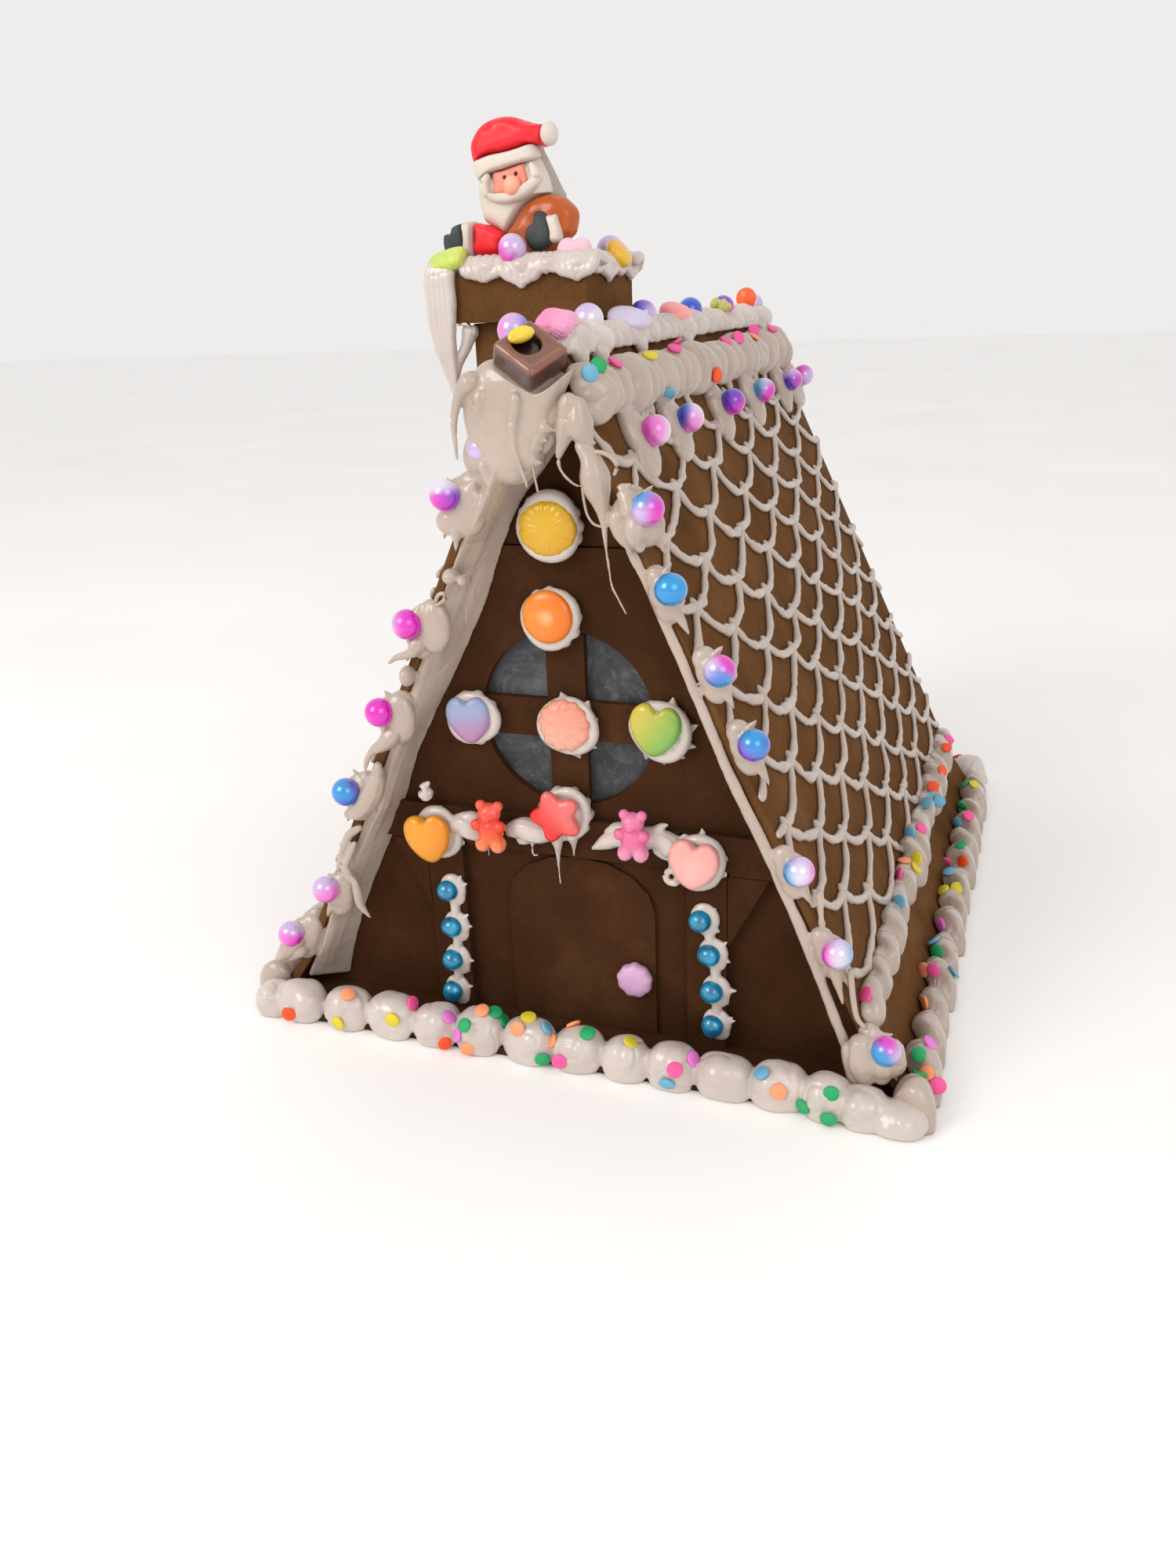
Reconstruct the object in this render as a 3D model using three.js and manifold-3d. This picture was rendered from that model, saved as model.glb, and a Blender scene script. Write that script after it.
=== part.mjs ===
// A-frame gingerbread house made as a keepsake: brown sheet panels, piped icing,
// pearl beads, gummy sweets and a small Santa in the chimney.
// Millimetres, +Z up, the front faces -Y, and the origin is the middle of the board's underside.
import * as THREE from 'three';
import { mergeVertices } from 'three/addons/utils/BufferGeometryUtils.js';
import Module from 'manifold-3d';

const wasm = await Module();
wasm.setup();

// ---------------------------------------------------------------- driving dimensions
const GAP = 0.3;                 // clearance kept between pieces that touch
const SHEET = 3;                 // thickness of the brown sheets
const THIN_SHEET = 1.2;          // the door and the window pane

const ROOF_LENGTH = 285;
const WALL_INSET = 13;           // how far the roof oversails the front and back walls
const RIDGE = { x: 0, z: 242 };
const BREAK = { x: 10, z: 226.3 };   // where the ridge cap ends and the long slope starts
const EAVE = { x: 106.7, z: 23 };    // where the long slope ends and the skirt starts
const FOOT = { x: 120, z: SHEET + GAP };

const BOARD = { width: 242, depth: 310 };
const BASE_ROW = { x: 122.2, y: 154.5, halfWidth: 6.8, height: 14.5 };

const GABLE_JOINT_Z = 178.3;
const WINDOW = { x: 0, z: 120.5, radius: 30.9, bar: 13.5, segments: 40 };
const LINTEL = { bottom: 71.3, top: 85.5, halfLength: 72 };
const POST = { inner: 41.8, outer: 55.7 };
const BRACE = { reach: 14, drop: 27 };
const DOOR = { x: 2.3, halfWidth: 27.5, shoulder: 52, top: 70.6 };

const PEARL_RADIUS = 5;
const BLUE_BALL_RADIUS = 4;

const CONFETTI = { radius: 2.5, thickness: 1.1, sides: 5 };

const CHIMNEY = { x: -35, y: -44.7, halfShaft: 20, halfCollar: 25, bottom: 244.3, top: 260 };

// Loops of icing piped over the slopes: cell is a loop's width, row the step down to the next line.
const LATTICE = {
  cell: ROOF_LENGTH / 5.5, row: 12.4, rows: 16, top: 13.2, rib: 1.7, ribHalfWidth: 1.6, floor: 0.2,
};

// ---------------------------------------------------------------- derived places
const ROOF_HALF = ROOF_LENGTH / 2;
const WALL_Y = ROOF_HALF - WALL_INSET;
const SLOPE_RUN = EAVE.x - BREAK.x;
const SLOPE_DROP = BREAK.z - EAVE.z;
const SLOPE_LENGTH = Math.hypot(SLOPE_RUN, SLOPE_DROP);
const DOWN = { x: SLOPE_RUN / SLOPE_LENGTH, z: -SLOPE_DROP / SLOPE_LENGTH };
const OUT = { x: -DOWN.z, z: DOWN.x };

// ---------------------------------------------------------------- colours
const material = (color, roughness, metalness = 0) => (
  new THREE.MeshStandardMaterial({ color, roughness, metalness }));
const brownWall = material(0x49301f, 0.9);
const brownRoof = material(0x5c4430, 0.9);
const darkPane = material(0x3a4048, 0.6);
const icing = material(0xefe6da, 0.5);
const milkBrown = material(0x5a3426, 0.3);
const santaRed = material(0xe01828, 0.5);
const gummy = (color) => material(color, 0.35);

// ---------------------------------------------------------------- repeatable random draw
let seed = 20241;
function random() {
  seed = (seed * 1664525 + 1013904223) % 4294967296;
  return seed / 4294967296;
}
const vary = (amount) => 1 + amount * (2 * random() - 1);

// ---------------------------------------------------------------- solids
function toSolid(geometry) {
  const bare = new THREE.BufferGeometry();
  bare.setAttribute('position', geometry.getAttribute('position').clone());
  if (geometry.index) bare.setIndex(geometry.index.clone());
  const merged = mergeVertices(bare, 1e-4);
  return new wasm.Manifold(new wasm.Mesh({
    numProp: 3,
    vertProperties: new Float32Array(merged.getAttribute('position').array),
    triVerts: new Uint32Array(merged.index.array),
  }));
}

function toGeometry(solid) {
  const mesh = solid.getMesh();
  const geometry = new THREE.BufferGeometry();
  geometry.setAttribute('position', new THREE.BufferAttribute(mesh.vertProperties, 3));
  geometry.setIndex(new THREE.BufferAttribute(mesh.triVerts, 1));
  return geometry;
}

const join = (solids) => solids.reduce((sum, solid) => sum.add(solid));
const cutAway = (solid, cutters) => cutters.reduce((rest, cutter) => rest.subtract(cutter), solid);

// Keeps the biggest body, in case a cut leaves a loose scrap.
function largest(solid) {
  return solid.decompose().sort((a, b) => b.volume() - a.volume())[0];
}

// A closed skin over a stack of equal rings, with a fan at each end.
function loft(rings) {
  const sides = rings[0].length;
  const positions = rings.flat(2);
  const index = [];
  for (let ring = 0; ring + 1 < rings.length; ring += 1) {
    for (let side = 0; side < sides; side += 1) {
      const a = ring * sides + side;
      const b = ring * sides + (side + 1) % sides;
      index.push(a, b, b + sides, a, b + sides, a + sides);
    }
  }
  for (const [ring, turn] of [[0, 1], [rings.length - 1, -1]]) {
    const centre = [0, 1, 2].map((axis) => rings[ring].reduce((sum, p) => sum + p[axis], 0) / sides);
    const hub = positions.length / 3;
    positions.push(...centre);
    for (let side = 0; side < sides; side += 1) {
      const a = ring * sides + side;
      const b = ring * sides + (side + 1) % sides;
      index.push(...(turn > 0 ? [b, a, hub] : [a, b, hub]));
    }
  }
  const geometry = new THREE.BufferGeometry();
  geometry.setAttribute('position', new THREE.Float32BufferAttribute(positions, 3));
  geometry.setIndex(index);
  return outward(geometry);
}

// Turns the faces round if they point in.
function outward(geometry) {
  const place = geometry.getAttribute('position');
  const index = geometry.index.array;
  const corner = [0, 1, 2].map(() => new THREE.Vector3());
  let volume = 0;
  for (let face = 0; face < index.length; face += 3) {
    corner.forEach((point, k) => point.fromBufferAttribute(place, index[face + k]));
    volume += corner[0].dot(corner[1].clone().cross(corner[2]));
  }
  if (volume < 0) {
    for (let face = 0; face < index.length; face += 3) {
      [index[face], index[face + 1]] = [index[face + 1], index[face]];
    }
  }
  return geometry;
}

// A plate: an outline in the local X-Y plane, from one height to another.
function plate(outline, from, to, holes = []) {
  const shape = new THREE.Shape(outline.map(([x, y]) => new THREE.Vector2(x, y)));
  shape.holes = holes.map((hole) => new THREE.Path(hole.map(([x, y]) => new THREE.Vector2(x, y))));
  const geometry = new THREE.ExtrudeGeometry(shape, { depth: to - from, bevelEnabled: false });
  return geometry.translate(0, 0, from);
}

const circle = (radius, count, x = 0, y = 0) => Array.from({ length: count }, (_, k) => {
  const angle = 2 * Math.PI * k / count;
  return [x + radius * Math.cos(angle), y + radius * Math.sin(angle)];
});

// Faceted balls with 32, 20 and 8 faces, stretched to their three radii.
const ball = (radii, centre) => new THREE.OctahedronGeometry(1, 1).scale(...radii).translate(...centre);
const blob = (radii, centre) => new THREE.IcosahedronGeometry(1, 0).scale(...radii).translate(...centre);
const octahedron = (radii, centre) => new THREE.OctahedronGeometry(1, 0).scale(...radii).translate(...centre);
const pearl = (x, y, z) => toSolid(ball([PEARL_RADIUS, PEARL_RADIUS, PEARL_RADIUS], [x, y, z]));

// An outline that changes size as it rises, such as a sweet or a dollop of icing.
const stack = (outline, height, levels, base = 0) => loft(levels.map(([level, scale]) => (
  outline.map(([x, y]) => [x * scale, y * scale, base + level * height]))));
const sweet = (outline, thickness) => stack(outline, thickness, [[0, 0.9], [0.45, 1], [1, 0.72]]);

// A piped line: it runs along local Y on a flat face, swelling and pinching at each blob.
// `lean` puts the fattest part of a blob between its two ends, `at` moves the whole row, and
// `seat` fits the points of a section to what the row lies on.
function pipedRow({
  length, blobs, halfWidth, height, sides = 6, pinch = 0.7, lean = 0.5, seat, at = [0, 0, 0],
}) {
  const pitch = length / blobs;
  const uneven = 0.08;
  const section = (y, scale) => {
    const arc = Array.from({ length: sides }, (_, side) => {
      const angle = Math.PI * side / (sides - 1);
      return [halfWidth * scale * Math.cos(angle), GAP + height * scale * Math.sin(angle)];
    });
    return (seat ? seat(arc) : arc).map(([x, z]) => [x, y, z]);
  };
  const rings = [];
  for (let blob = 0; blob < blobs; blob += 1) {
    rings.push(section(blob * pitch, blob ? pinch : 0.55));
    rings.push(section((blob + lean) * pitch, 1 - uneven * random()));
  }
  rings.push(section(length, 0.55));
  return loft(rings).translate(...at);
}

// A tapering string of icing through a few points.
function drip(points, radii, sides = 6) {
  const path = points.map((point) => new THREE.Vector3(...point));
  const rings = path.map((point, k) => {
    const along = path[Math.min(k + 1, path.length - 1)].clone().sub(path[Math.max(k - 1, 0)]).normalize();
    const across = new THREE.Vector3(0, 1, 0).cross(along).normalize();
    const front = along.clone().cross(across);
    return Array.from({ length: sides }, (_, side) => {
      const angle = 2 * Math.PI * side / sides;
      return point.clone()
        .addScaledVector(across, radii[k] * Math.cos(angle))
        .addScaledVector(front, radii[k] * Math.sin(angle)).toArray();
    });
  });
  return loft(rings);
}

// ---------------------------------------------------------------- scene graph
const house = new THREE.Group();

function add(parent, name, shape, look) {
  const geometry = shape instanceof THREE.BufferGeometry ? shape : toGeometry(shape);
  const mesh = new THREE.Mesh(geometry, look);
  mesh.name = name;
  parent.add(mesh);
  return mesh;
}

// Local X is the world's X, local Y is up, and local Z points out of the front wall.
const front = new THREE.Group();
front.position.y = -WALL_Y;
front.rotation.x = Math.PI / 2;
house.add(front);

// Cross-sections of the house: local X-Y is the world's X-Z, and local Z runs towards the front.
const section = new THREE.Group();
section.rotation.x = Math.PI / 2;
house.add(section);

// A long slope: local X runs down it, local Y along the roof, local Z out of it.
function slopeGroup(side) {
  const group = new THREE.Group();
  const basis = new THREE.Matrix4().makeBasis(
    new THREE.Vector3(side * DOWN.x, 0, DOWN.z),
    new THREE.Vector3(0, side, 0),
    new THREE.Vector3(side * OUT.x, 0, OUT.z));
  group.position.set(side * BREAK.x, -side * ROOF_HALF, BREAK.z);
  group.quaternion.setFromRotationMatrix(basis);
  group.updateMatrix();
  house.add(group);
  return group;
}
const slopes = { left: slopeGroup(-1), right: slopeGroup(1) };

// Moves a world-frame solid into the slope's own frame, to cut with it there.
const intoSlope = (side, geometry) => toSolid(geometry.applyMatrix4(slopes[side].matrix.clone().invert()));

// ---------------------------------------------------------------- brown sheets
const roofX = (z) => BREAK.x + (BREAK.z - z) * SLOPE_RUN / SLOPE_DROP;
const wallX = (z) => roofX(z) - SHEET / OUT.x - 0.4;
const mirrored = (points) => [...points, ...points.map(([x, z]) => [-x, z]).reverse()];

function worldBox(x0, x1, y0, y1, z0, z1) {
  return new THREE.BoxGeometry(x1 - x0, y1 - y0, z1 - z0)
    .translate((x0 + x1) / 2, (y0 + y1) / 2, (z0 + z1) / 2);
}

add(house, 'base_board',
  worldBox(-BOARD.width / 2, BOARD.width / 2, -BOARD.depth / 2, BOARD.depth / 2, 0, SHEET), brownWall);

const windowHole = circle(WINDOW.radius, WINDOW.segments, WINDOW.x, WINDOW.z);
const frontWallOutline = mirrored([[wallX(FOOT.z), FOOT.z], [wallX(GABLE_JOINT_Z), GABLE_JOINT_Z]]);
add(front, 'front_wall', plate(frontWallOutline, -SHEET, 0, [windowHole]), brownWall);

const gableTop = [[6, BREAK.z], [0, 235.6]];
const gableFoot = GABLE_JOINT_Z + GAP;
const gableOutline = [
  [wallX(gableFoot), gableFoot], ...gableTop, [-6, BREAK.z], [-wallX(gableFoot), gableFoot]];
add(front, 'gable_panel', plate(gableOutline, -SHEET - 1, -1), brownWall);

const backOutline = [[wallX(FOOT.z), FOOT.z], ...gableTop, [-6, BREAK.z], [-wallX(FOOT.z), FOOT.z]];
add(section, 'back_wall', plate(backOutline, -WALL_Y, -WALL_Y + SHEET), brownWall);

const paneFace = -SHEET - GAP;
add(front, 'window_pane',
  plate(circle(WINDOW.radius + 3, 24, WINDOW.x, WINDOW.z), paneFace - THIN_SHEET, paneFace), darkPane);

const barHalf = WINDOW.bar / 2;
const barReach = Math.sqrt((WINDOW.radius - 0.4) ** 2 - barHalf ** 2);
const crossCorner = [[barHalf, barHalf], [barHalf, barReach], [-barHalf, barReach]];
const crossOutline = [0, 1, 2, 3].flatMap((turn) => crossCorner.map(([x, y]) => {
  const [cos, sin] = [[1, 0], [0, 1], [-1, 0], [0, -1]][turn];
  return [WINDOW.x + x * cos - y * sin, WINDOW.z + x * sin + y * cos];
}));
add(front, 'window_cross', plate(crossOutline, -SHEET + GAP, 0), brownWall);

const wallFace = GAP;
const slatFace = GAP + SHEET;
const lintelOutline = mirrored([[LINTEL.halfLength, LINTEL.bottom], [LINTEL.halfLength, LINTEL.top]]);
add(front, 'lintel', plate(lintelOutline, wallFace, slatFace), brownWall);
const postTop = LINTEL.bottom - GAP;
for (const [name, side] of [['left', -1], ['right', 1]]) {
  const post = [[POST.inner, FOOT.z], [POST.outer, FOOT.z], [POST.outer, postTop], [POST.inner, postTop]];
  add(front, `post_${name}`, plate(post.map(([x, z]) => [side * x, z]), wallFace, slatFace), brownWall);
  const edge = POST.outer + GAP;
  const brace = [[edge, postTop], [edge, postTop - BRACE.drop], [edge + BRACE.reach, postTop]];
  add(front, `brace_${name}`, plate(brace.map(([x, z]) => [side * x, z]), wallFace, slatFace), brownWall);
}

const archSteps = 8;
const doorArch = Array.from({ length: archSteps + 1 }, (_, k) => {
  const angle = Math.PI * k / archSteps;
  const rise = DOOR.top - DOOR.shoulder;
  return [DOOR.x + DOOR.halfWidth * Math.cos(angle), DOOR.shoulder + rise * Math.sin(angle)];
});
const doorOutline = [[DOOR.x - DOOR.halfWidth, FOOT.z], [DOOR.x + DOOR.halfWidth, FOOT.z], ...doorArch];
add(front, 'door', plate(doorOutline, wallFace, wallFace + THIN_SHEET), brownWall);

// Skirt: the short flared sheets between the long slopes and the board.
const skirtTop = { x: EAVE.x + 0.5, z: EAVE.z - 0.8 };
const skirtRun = FOOT.x - skirtTop.x;
const skirtDrop = skirtTop.z - FOOT.z;
const skirtLength = Math.hypot(skirtRun, skirtDrop);
const skirtOut = { x: skirtDrop / skirtLength, z: skirtRun / skirtLength };
function skirtOutline(side, grow) {
  const outer = [[skirtTop.x, skirtTop.z], [FOOT.x, FOOT.z]]
    .map(([x, z]) => [x + grow * skirtOut.x, z + grow * skirtOut.z]);
  const depth = SHEET + grow;
  const inner = [[FOOT.x - SHEET / skirtOut.x, FOOT.z],
    [skirtTop.x - depth * skirtOut.x, skirtTop.z - depth * skirtOut.z]];
  return [...outer, ...inner].map(([x, z]) => [side * x, z]);
}
for (const [name, side] of [['left', -1], ['right', 1]]) {
  add(section, `skirt_${name}`, plate(skirtOutline(side, 0), -ROOF_HALF, ROOF_HALF), brownRoof);
}

const capOut = SHEET / Math.sin(Math.atan2(RIDGE.z - BREAK.z, BREAK.x));
const capRise = SHEET / Math.cos(Math.atan2(RIDGE.z - BREAK.z, BREAK.x));
const capFoot = BREAK.z + 0.7;
const capOutline = [[BREAK.x, capFoot], [0, RIDGE.z], [-BREAK.x, capFoot],
  [-BREAK.x + capOut, capFoot], [0, RIDGE.z - capRise], [BREAK.x - capOut, capFoot]];
// The cap stops short of the gable's edge, behind the chocolate.
const CAP_START = -ROOF_HALF + 12;
add(section, 'ridge_cap', plate(capOutline, -ROOF_HALF, -CAP_START), brownRoof);

// ---------------------------------------------------------------- roof slopes with their piped scales
// Rows of hanging loops: each loop starts at the lowest points of the two loops above it.
function scaleRelief() {
  const { cell, row, rows, top, rib, ribHalfWidth, floor } = LATTICE;
  const points = new Map();
  const index = [];
  const positions = [];
  const vertex = (x, y, z) => {
    const key = [x, y, z].map((value) => value.toFixed(3)).join();
    if (!points.has(key)) {
      points.set(key, positions.length / 3);
      positions.push(x, y, z);
    }
    return points.get(key);
  };
  const inset = (outline) => outline.map((here, k) => {
    const before = outline[(k + outline.length - 1) % outline.length];
    const after = outline[(k + 1) % outline.length];
    const edgeA = new THREE.Vector2(here[0] - before[0], here[1] - before[1]).normalize();
    const edgeB = new THREE.Vector2(after[0] - here[0], after[1] - here[1]).normalize();
    const bend = edgeA.clone().sub(edgeB);
    const sine = edgeA.cross(edgeB);
    if (Math.abs(sine) < 1e-6) return [here[0] - edgeA.y * ribHalfWidth, here[1] + edgeA.x * ribHalfWidth];
    return [here[0] - bend.x * ribHalfWidth / sine, here[1] - bend.y * ribHalfWidth / sine];
  });
  const pit = (outline) => {
    const low = inset(outline);
    const rim = outline.map(([x, y]) => vertex(x, y, rib));
    const base = low.map(([x, y]) => vertex(x, y, floor));
    rim.forEach((_, k) => {
      const next = (k + 1) % rim.length;
      index.push(rim[k], rim[next], base[next], rim[k], base[next], base[k]);
    });
    const flat = low.map(([x, y]) => new THREE.Vector2(x, y));
    THREE.ShapeUtils.triangulateShape(flat, []).forEach((face) => index.push(...face.map((k) => base[k])));
  };
  // Local X is down the slope, local Y along the roof; outlines turn anticlockwise in X-Y.
  for (let line = -1; line < rows; line += 1) {
    const x = top + line * row;
    const shift = Math.abs(line % 2) * cell / 2;
    for (let y = shift; y <= ROOF_LENGTH + 1e-6; y += cell) {
      const left = y > 1e-6;
      const right = y < ROOF_LENGTH - 1e-6;
      const outline = [];
      const middle = x + row;
      if (line >= 0) outline.push([x, y]);
      if (left) outline.push([middle, y - cell / 2]);
      if (line + 2 <= rows) outline.push([middle + row, y]);
      else if (!left || !right) outline.push([middle, y]);
      if (right) outline.push([middle, y + cell / 2]);
      if (line < 0 && !(left && right)) outline.push([middle, y]);
      pit(anticlockwise(outline));
    }
  }
  const edge = rimLoop(index);
  const skirtDepth = -1;
  const low = edge.map((k) => vertex(positions[3 * k], positions[3 * k + 1], skirtDepth));
  edge.forEach((_, k) => {
    const next = (k + 1) % edge.length;
    index.push(edge[next], edge[k], low[k], edge[next], low[k], low[next]);
  });
  const flat = low.map((k) => new THREE.Vector2(positions[3 * k], positions[3 * k + 1]));
  THREE.ShapeUtils.triangulateShape(flat, []).forEach(([a, b, c]) => index.push(low[a], low[c], low[b]));
  const geometry = new THREE.BufferGeometry();
  geometry.setAttribute('position', new THREE.Float32BufferAttribute(positions, 3));
  geometry.setIndex(index);
  return outward(geometry);
}

function anticlockwise(outline) {
  const area = THREE.ShapeUtils.area(outline.map(([x, y]) => new THREE.Vector2(x, y)));
  return area > 0 ? outline : outline.slice().reverse();
}

// The open border of a sheet of triangles, as one loop in the direction of its edges.
function rimLoop(index) {
  const next = new Map();
  const edges = new Set();
  for (let face = 0; face < index.length; face += 3) {
    for (let k = 0; k < 3; k += 1) edges.add(`${index[face + k]},${index[face + (k + 1) % 3]}`);
  }
  for (const edge of edges) {
    const [a, b] = edge.split(',').map(Number);
    if (!edges.has(`${b},${a}`)) next.set(a, b);
  }
  const start = next.keys().next().value;
  const loop = [start];
  for (let at = next.get(start); at !== start; at = next.get(at)) loop.push(at);
  return loop;
}

const shaftGrown = (grow) => worldBox(
  CHIMNEY.x - CHIMNEY.halfShaft - grow, CHIMNEY.x + CHIMNEY.halfShaft + grow,
  CHIMNEY.y - CHIMNEY.halfShaft - grow, CHIMNEY.y + CHIMNEY.halfShaft + grow, 60, CHIMNEY.bottom + 20);

const slopePanel = () => toSolid(plate(
  [[0, 0], [SLOPE_LENGTH, 0], [SLOPE_LENGTH, ROOF_LENGTH], [0, ROOF_LENGTH]], -SHEET, 0));
for (const side of ['left', 'right']) {
  let relief = toSolid(scaleRelief());
  if (side === 'left') relief = relief.subtract(intoSlope(side, shaftGrown(1)));
  add(slopes[side], `roof_${side}`, slopePanel().add(relief), brownRoof);
}

// ---------------------------------------------------------------- chimney
const chimneyX = [CHIMNEY.x - CHIMNEY.halfShaft, CHIMNEY.x + CHIMNEY.halfShaft];
const roofZ = (x) => BREAK.z - (Math.abs(x) - BREAK.x) * SLOPE_DROP / SLOPE_RUN;
const restOnSlope = GAP / OUT.z + 0.1;
const shaftTop = CHIMNEY.bottom - GAP;
const shaftOutline = [
  ...chimneyX.map((x) => [x, roofZ(x) + restOnSlope]), [chimneyX[1], shaftTop], [chimneyX[0], shaftTop]];
add(section, 'chimney_shaft',
  plate(shaftOutline, -CHIMNEY.y - CHIMNEY.halfShaft, -CHIMNEY.y + CHIMNEY.halfShaft), brownWall);

const collarGrown = (grow) => worldBox(
  CHIMNEY.x - CHIMNEY.halfCollar - grow, CHIMNEY.x + CHIMNEY.halfCollar + grow,
  CHIMNEY.y - CHIMNEY.halfCollar - grow, CHIMNEY.y + CHIMNEY.halfCollar + grow,
  CHIMNEY.bottom - grow, CHIMNEY.top + grow);
add(house, 'chimney_collar', collarGrown(0), brownWall);

// ---------------------------------------------------------------- piped rows
// Little discs half sunk in the fat part of the blobs of a row, spread evenly along it.
// `spread` is the share of a half turn, from the outer side up and over, that they lie in.
function sprinkle(row, { length, blobs, lean, halfWidth, height, spread = 0.6, at = [0, 0, 0] }, count) {
  const up = new THREE.Vector3(0, 1, 0);
  const reach = 0.88;
  const discs = Array.from({ length: count }, (_, k) => {
    const blobAt = Math.floor(blobs * (k + 0.5) / count);
    const y = length * (blobAt + lean + 0.1 * (random() - 0.5)) / blobs;
    const angle = Math.PI * (0.2 + spread * random());
    const [cos, sin] = [Math.cos(angle), Math.sin(angle)];
    const normal = new THREE.Vector3(cos / halfWidth, 0, sin / height).normalize();
    const disc = new THREE.CylinderGeometry(
      CONFETTI.radius, CONFETTI.radius, CONFETTI.thickness, CONFETTI.sides);
    disc.applyQuaternion(new THREE.Quaternion().setFromUnitVectors(up, normal));
    disc.translate(reach * halfWidth * cos, y, GAP + reach * height * sin);
    return toSolid(disc.translate(...at));
  });
  return join([toSolid(row), ...discs]);
}

// A base row lies half on the board and half outside it; the side rows also lean on the skirt.
// Local +X points away from the house.
function baseSeat(boardEdge, beside) {
  const skirtFoot = FOOT.x + 0.7 - BASE_ROW.x;
  return (arc) => {
    const top = arc.slice(0, -1).map(([x, z]) => {
      const skirtX = skirtFoot - (z - FOOT.z) * skirtRun / skirtDrop;
      return [beside ? Math.max(x, skirtX) : x, z];
    });
    const inner = beside ? skirtFoot : arc.at(-1)[0];
    return [...top, [inner, SHEET + GAP], [boardEdge, SHEET + GAP], [boardEdge, GAP]];
  };
}

const cornerX = BASE_ROW.x + BASE_ROW.halfWidth;
const sideRowEnd = BASE_ROW.y - BASE_ROW.halfWidth - 1.1;
const baseRows = [
  { name: 'front', from: [-113, -BASE_ROW.y], length: 113 + cornerX, turn: -90, blobs: 14, discs: 4 },
  { name: 'back', from: [cornerX, BASE_ROW.y], length: 2 * cornerX, turn: 90, blobs: 15, discs: 4 },
  { name: 'right', from: [BASE_ROW.x, -sideRowEnd], length: 2 * sideRowEnd, turn: 0, blobs: 13, discs: 4 },
  { name: 'left', from: [-BASE_ROW.x, sideRowEnd], length: sideRowEnd + 125, turn: 180, blobs: 12, discs: 4 },
];
for (const { name, from, length, turn, blobs, discs } of baseRows) {
  const beside = turn % 180 === 0;
  const boardEdge = GAP + (beside ? BOARD.width / 2 - BASE_ROW.x : BOARD.depth / 2 - BASE_ROW.y);
  const lean = beside ? 0.3 : 0.5;
  const spread = beside ? 0.3 : 0.6;
  const seat = baseSeat(boardEdge, beside);
  const size = { ...BASE_ROW, length, blobs, lean, spread, sides: 5, seat };
  const mesh = add(house, `base_icing_${name}`, sprinkle(pipedRow(size), size, discs), icing);
  mesh.position.set(from[0], from[1], 0);
  mesh.rotation.z = THREE.MathUtils.degToRad(turn);
}

for (const side of ['left', 'right']) {
  const size = { length: ROOF_LENGTH - 4, blobs: 12, lean: 0.35, halfWidth: 5.4, height: 6.5, sides: 5 };
  add(slopes[side], `eave_icing_${side}`, sprinkle(pipedRow(size), size, 2), icing)
    .position.set(SLOPE_LENGTH - 6.4, 2, 0);
}

// Ropes along the break of the roof, with a dab of icing and a pearl hanging every so often.
const ropePearls = [34, 74, 135, 190, 251, 279];
const ribTop = LATTICE.rib + GAP;
const underDabs = toSolid(worldBox(-10, 60, -20, ROOF_LENGTH + 20, -20, ribTop));
for (const side of ['left', 'right']) {
  const size = {
    length: ROOF_LENGTH, blobs: 15, lean: 0.5, halfWidth: 8, height: 9.5, pinch: 0.78, at: [3, 0, 0.6] };
  const places = ropePearls.filter((u) => side === 'right'
    || Math.abs(u - ROOF_HALF - CHIMNEY.y) > CHIMNEY.halfCollar + 2 * PEARL_RADIUS);
  const localY = (u) => (side === 'right' ? u : ROOF_LENGTH - u);
  const dabs = places.map((u) => toSolid(blob([11, 6.2, 4.6], [17, localY(u), 2.2])).subtract(underDabs));
  const pearls = places.map((u) => pearl(20, localY(u), 8));
  let rope = join([sprinkle(pipedRow(size), size, 2), ...dabs, ...pearls]);
  if (side === 'left') {
    rope = cutAway(rope, [shaftGrown(0.4), collarGrown(0.4)].map((cutter) => intoSlope(side, cutter)));
  }
  add(slopes[side], `rope_icing_${side}`, rope, icing);
}

const RIDGE_ROW = { start: CAP_START + 0.5, foot: 236.5, top: RIDGE.z + 3.2 };
const ridgePearls = [[0, -96], [0, -38], [0, 25], [0, 79], [0, 138], [-10.5, -124]];
const capGrown = toSolid(plate(
  [[BREAK.x + 0.5, capFoot - 0.4], [0, RIDGE.z + 0.6], [-BREAK.x - 0.5, capFoot - 0.4]], -200, 200)
  .rotateX(Math.PI / 2));
const ridgeRow = pipedRow({
  length: ROOF_HALF - RIDGE_ROW.start - 1, blobs: 16, sides: 5, pinch: 0.8,
  halfWidth: 7.4, height: RIDGE_ROW.top - RIDGE_ROW.foot, at: [0, RIDGE_ROW.start, RIDGE_ROW.foot - GAP] });
const ridgeShoulder = blob([6, 6, 5], [-8, -124, 240]);
const standingDisc = new THREE.CylinderGeometry(4.8, 4.8, 3.4, 10).translate(0, 124, RIDGE_ROW.top + 2.6);
add(house, 'ridge_icing', join([
  join([ridgeRow, ridgeShoulder].map(toSolid)).subtract(capGrown),
  toSolid(standingDisc),
  ...ridgePearls.map(([x, y]) => pearl(x, y, RIDGE_ROW.top + 2.2))]), icing);

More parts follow.
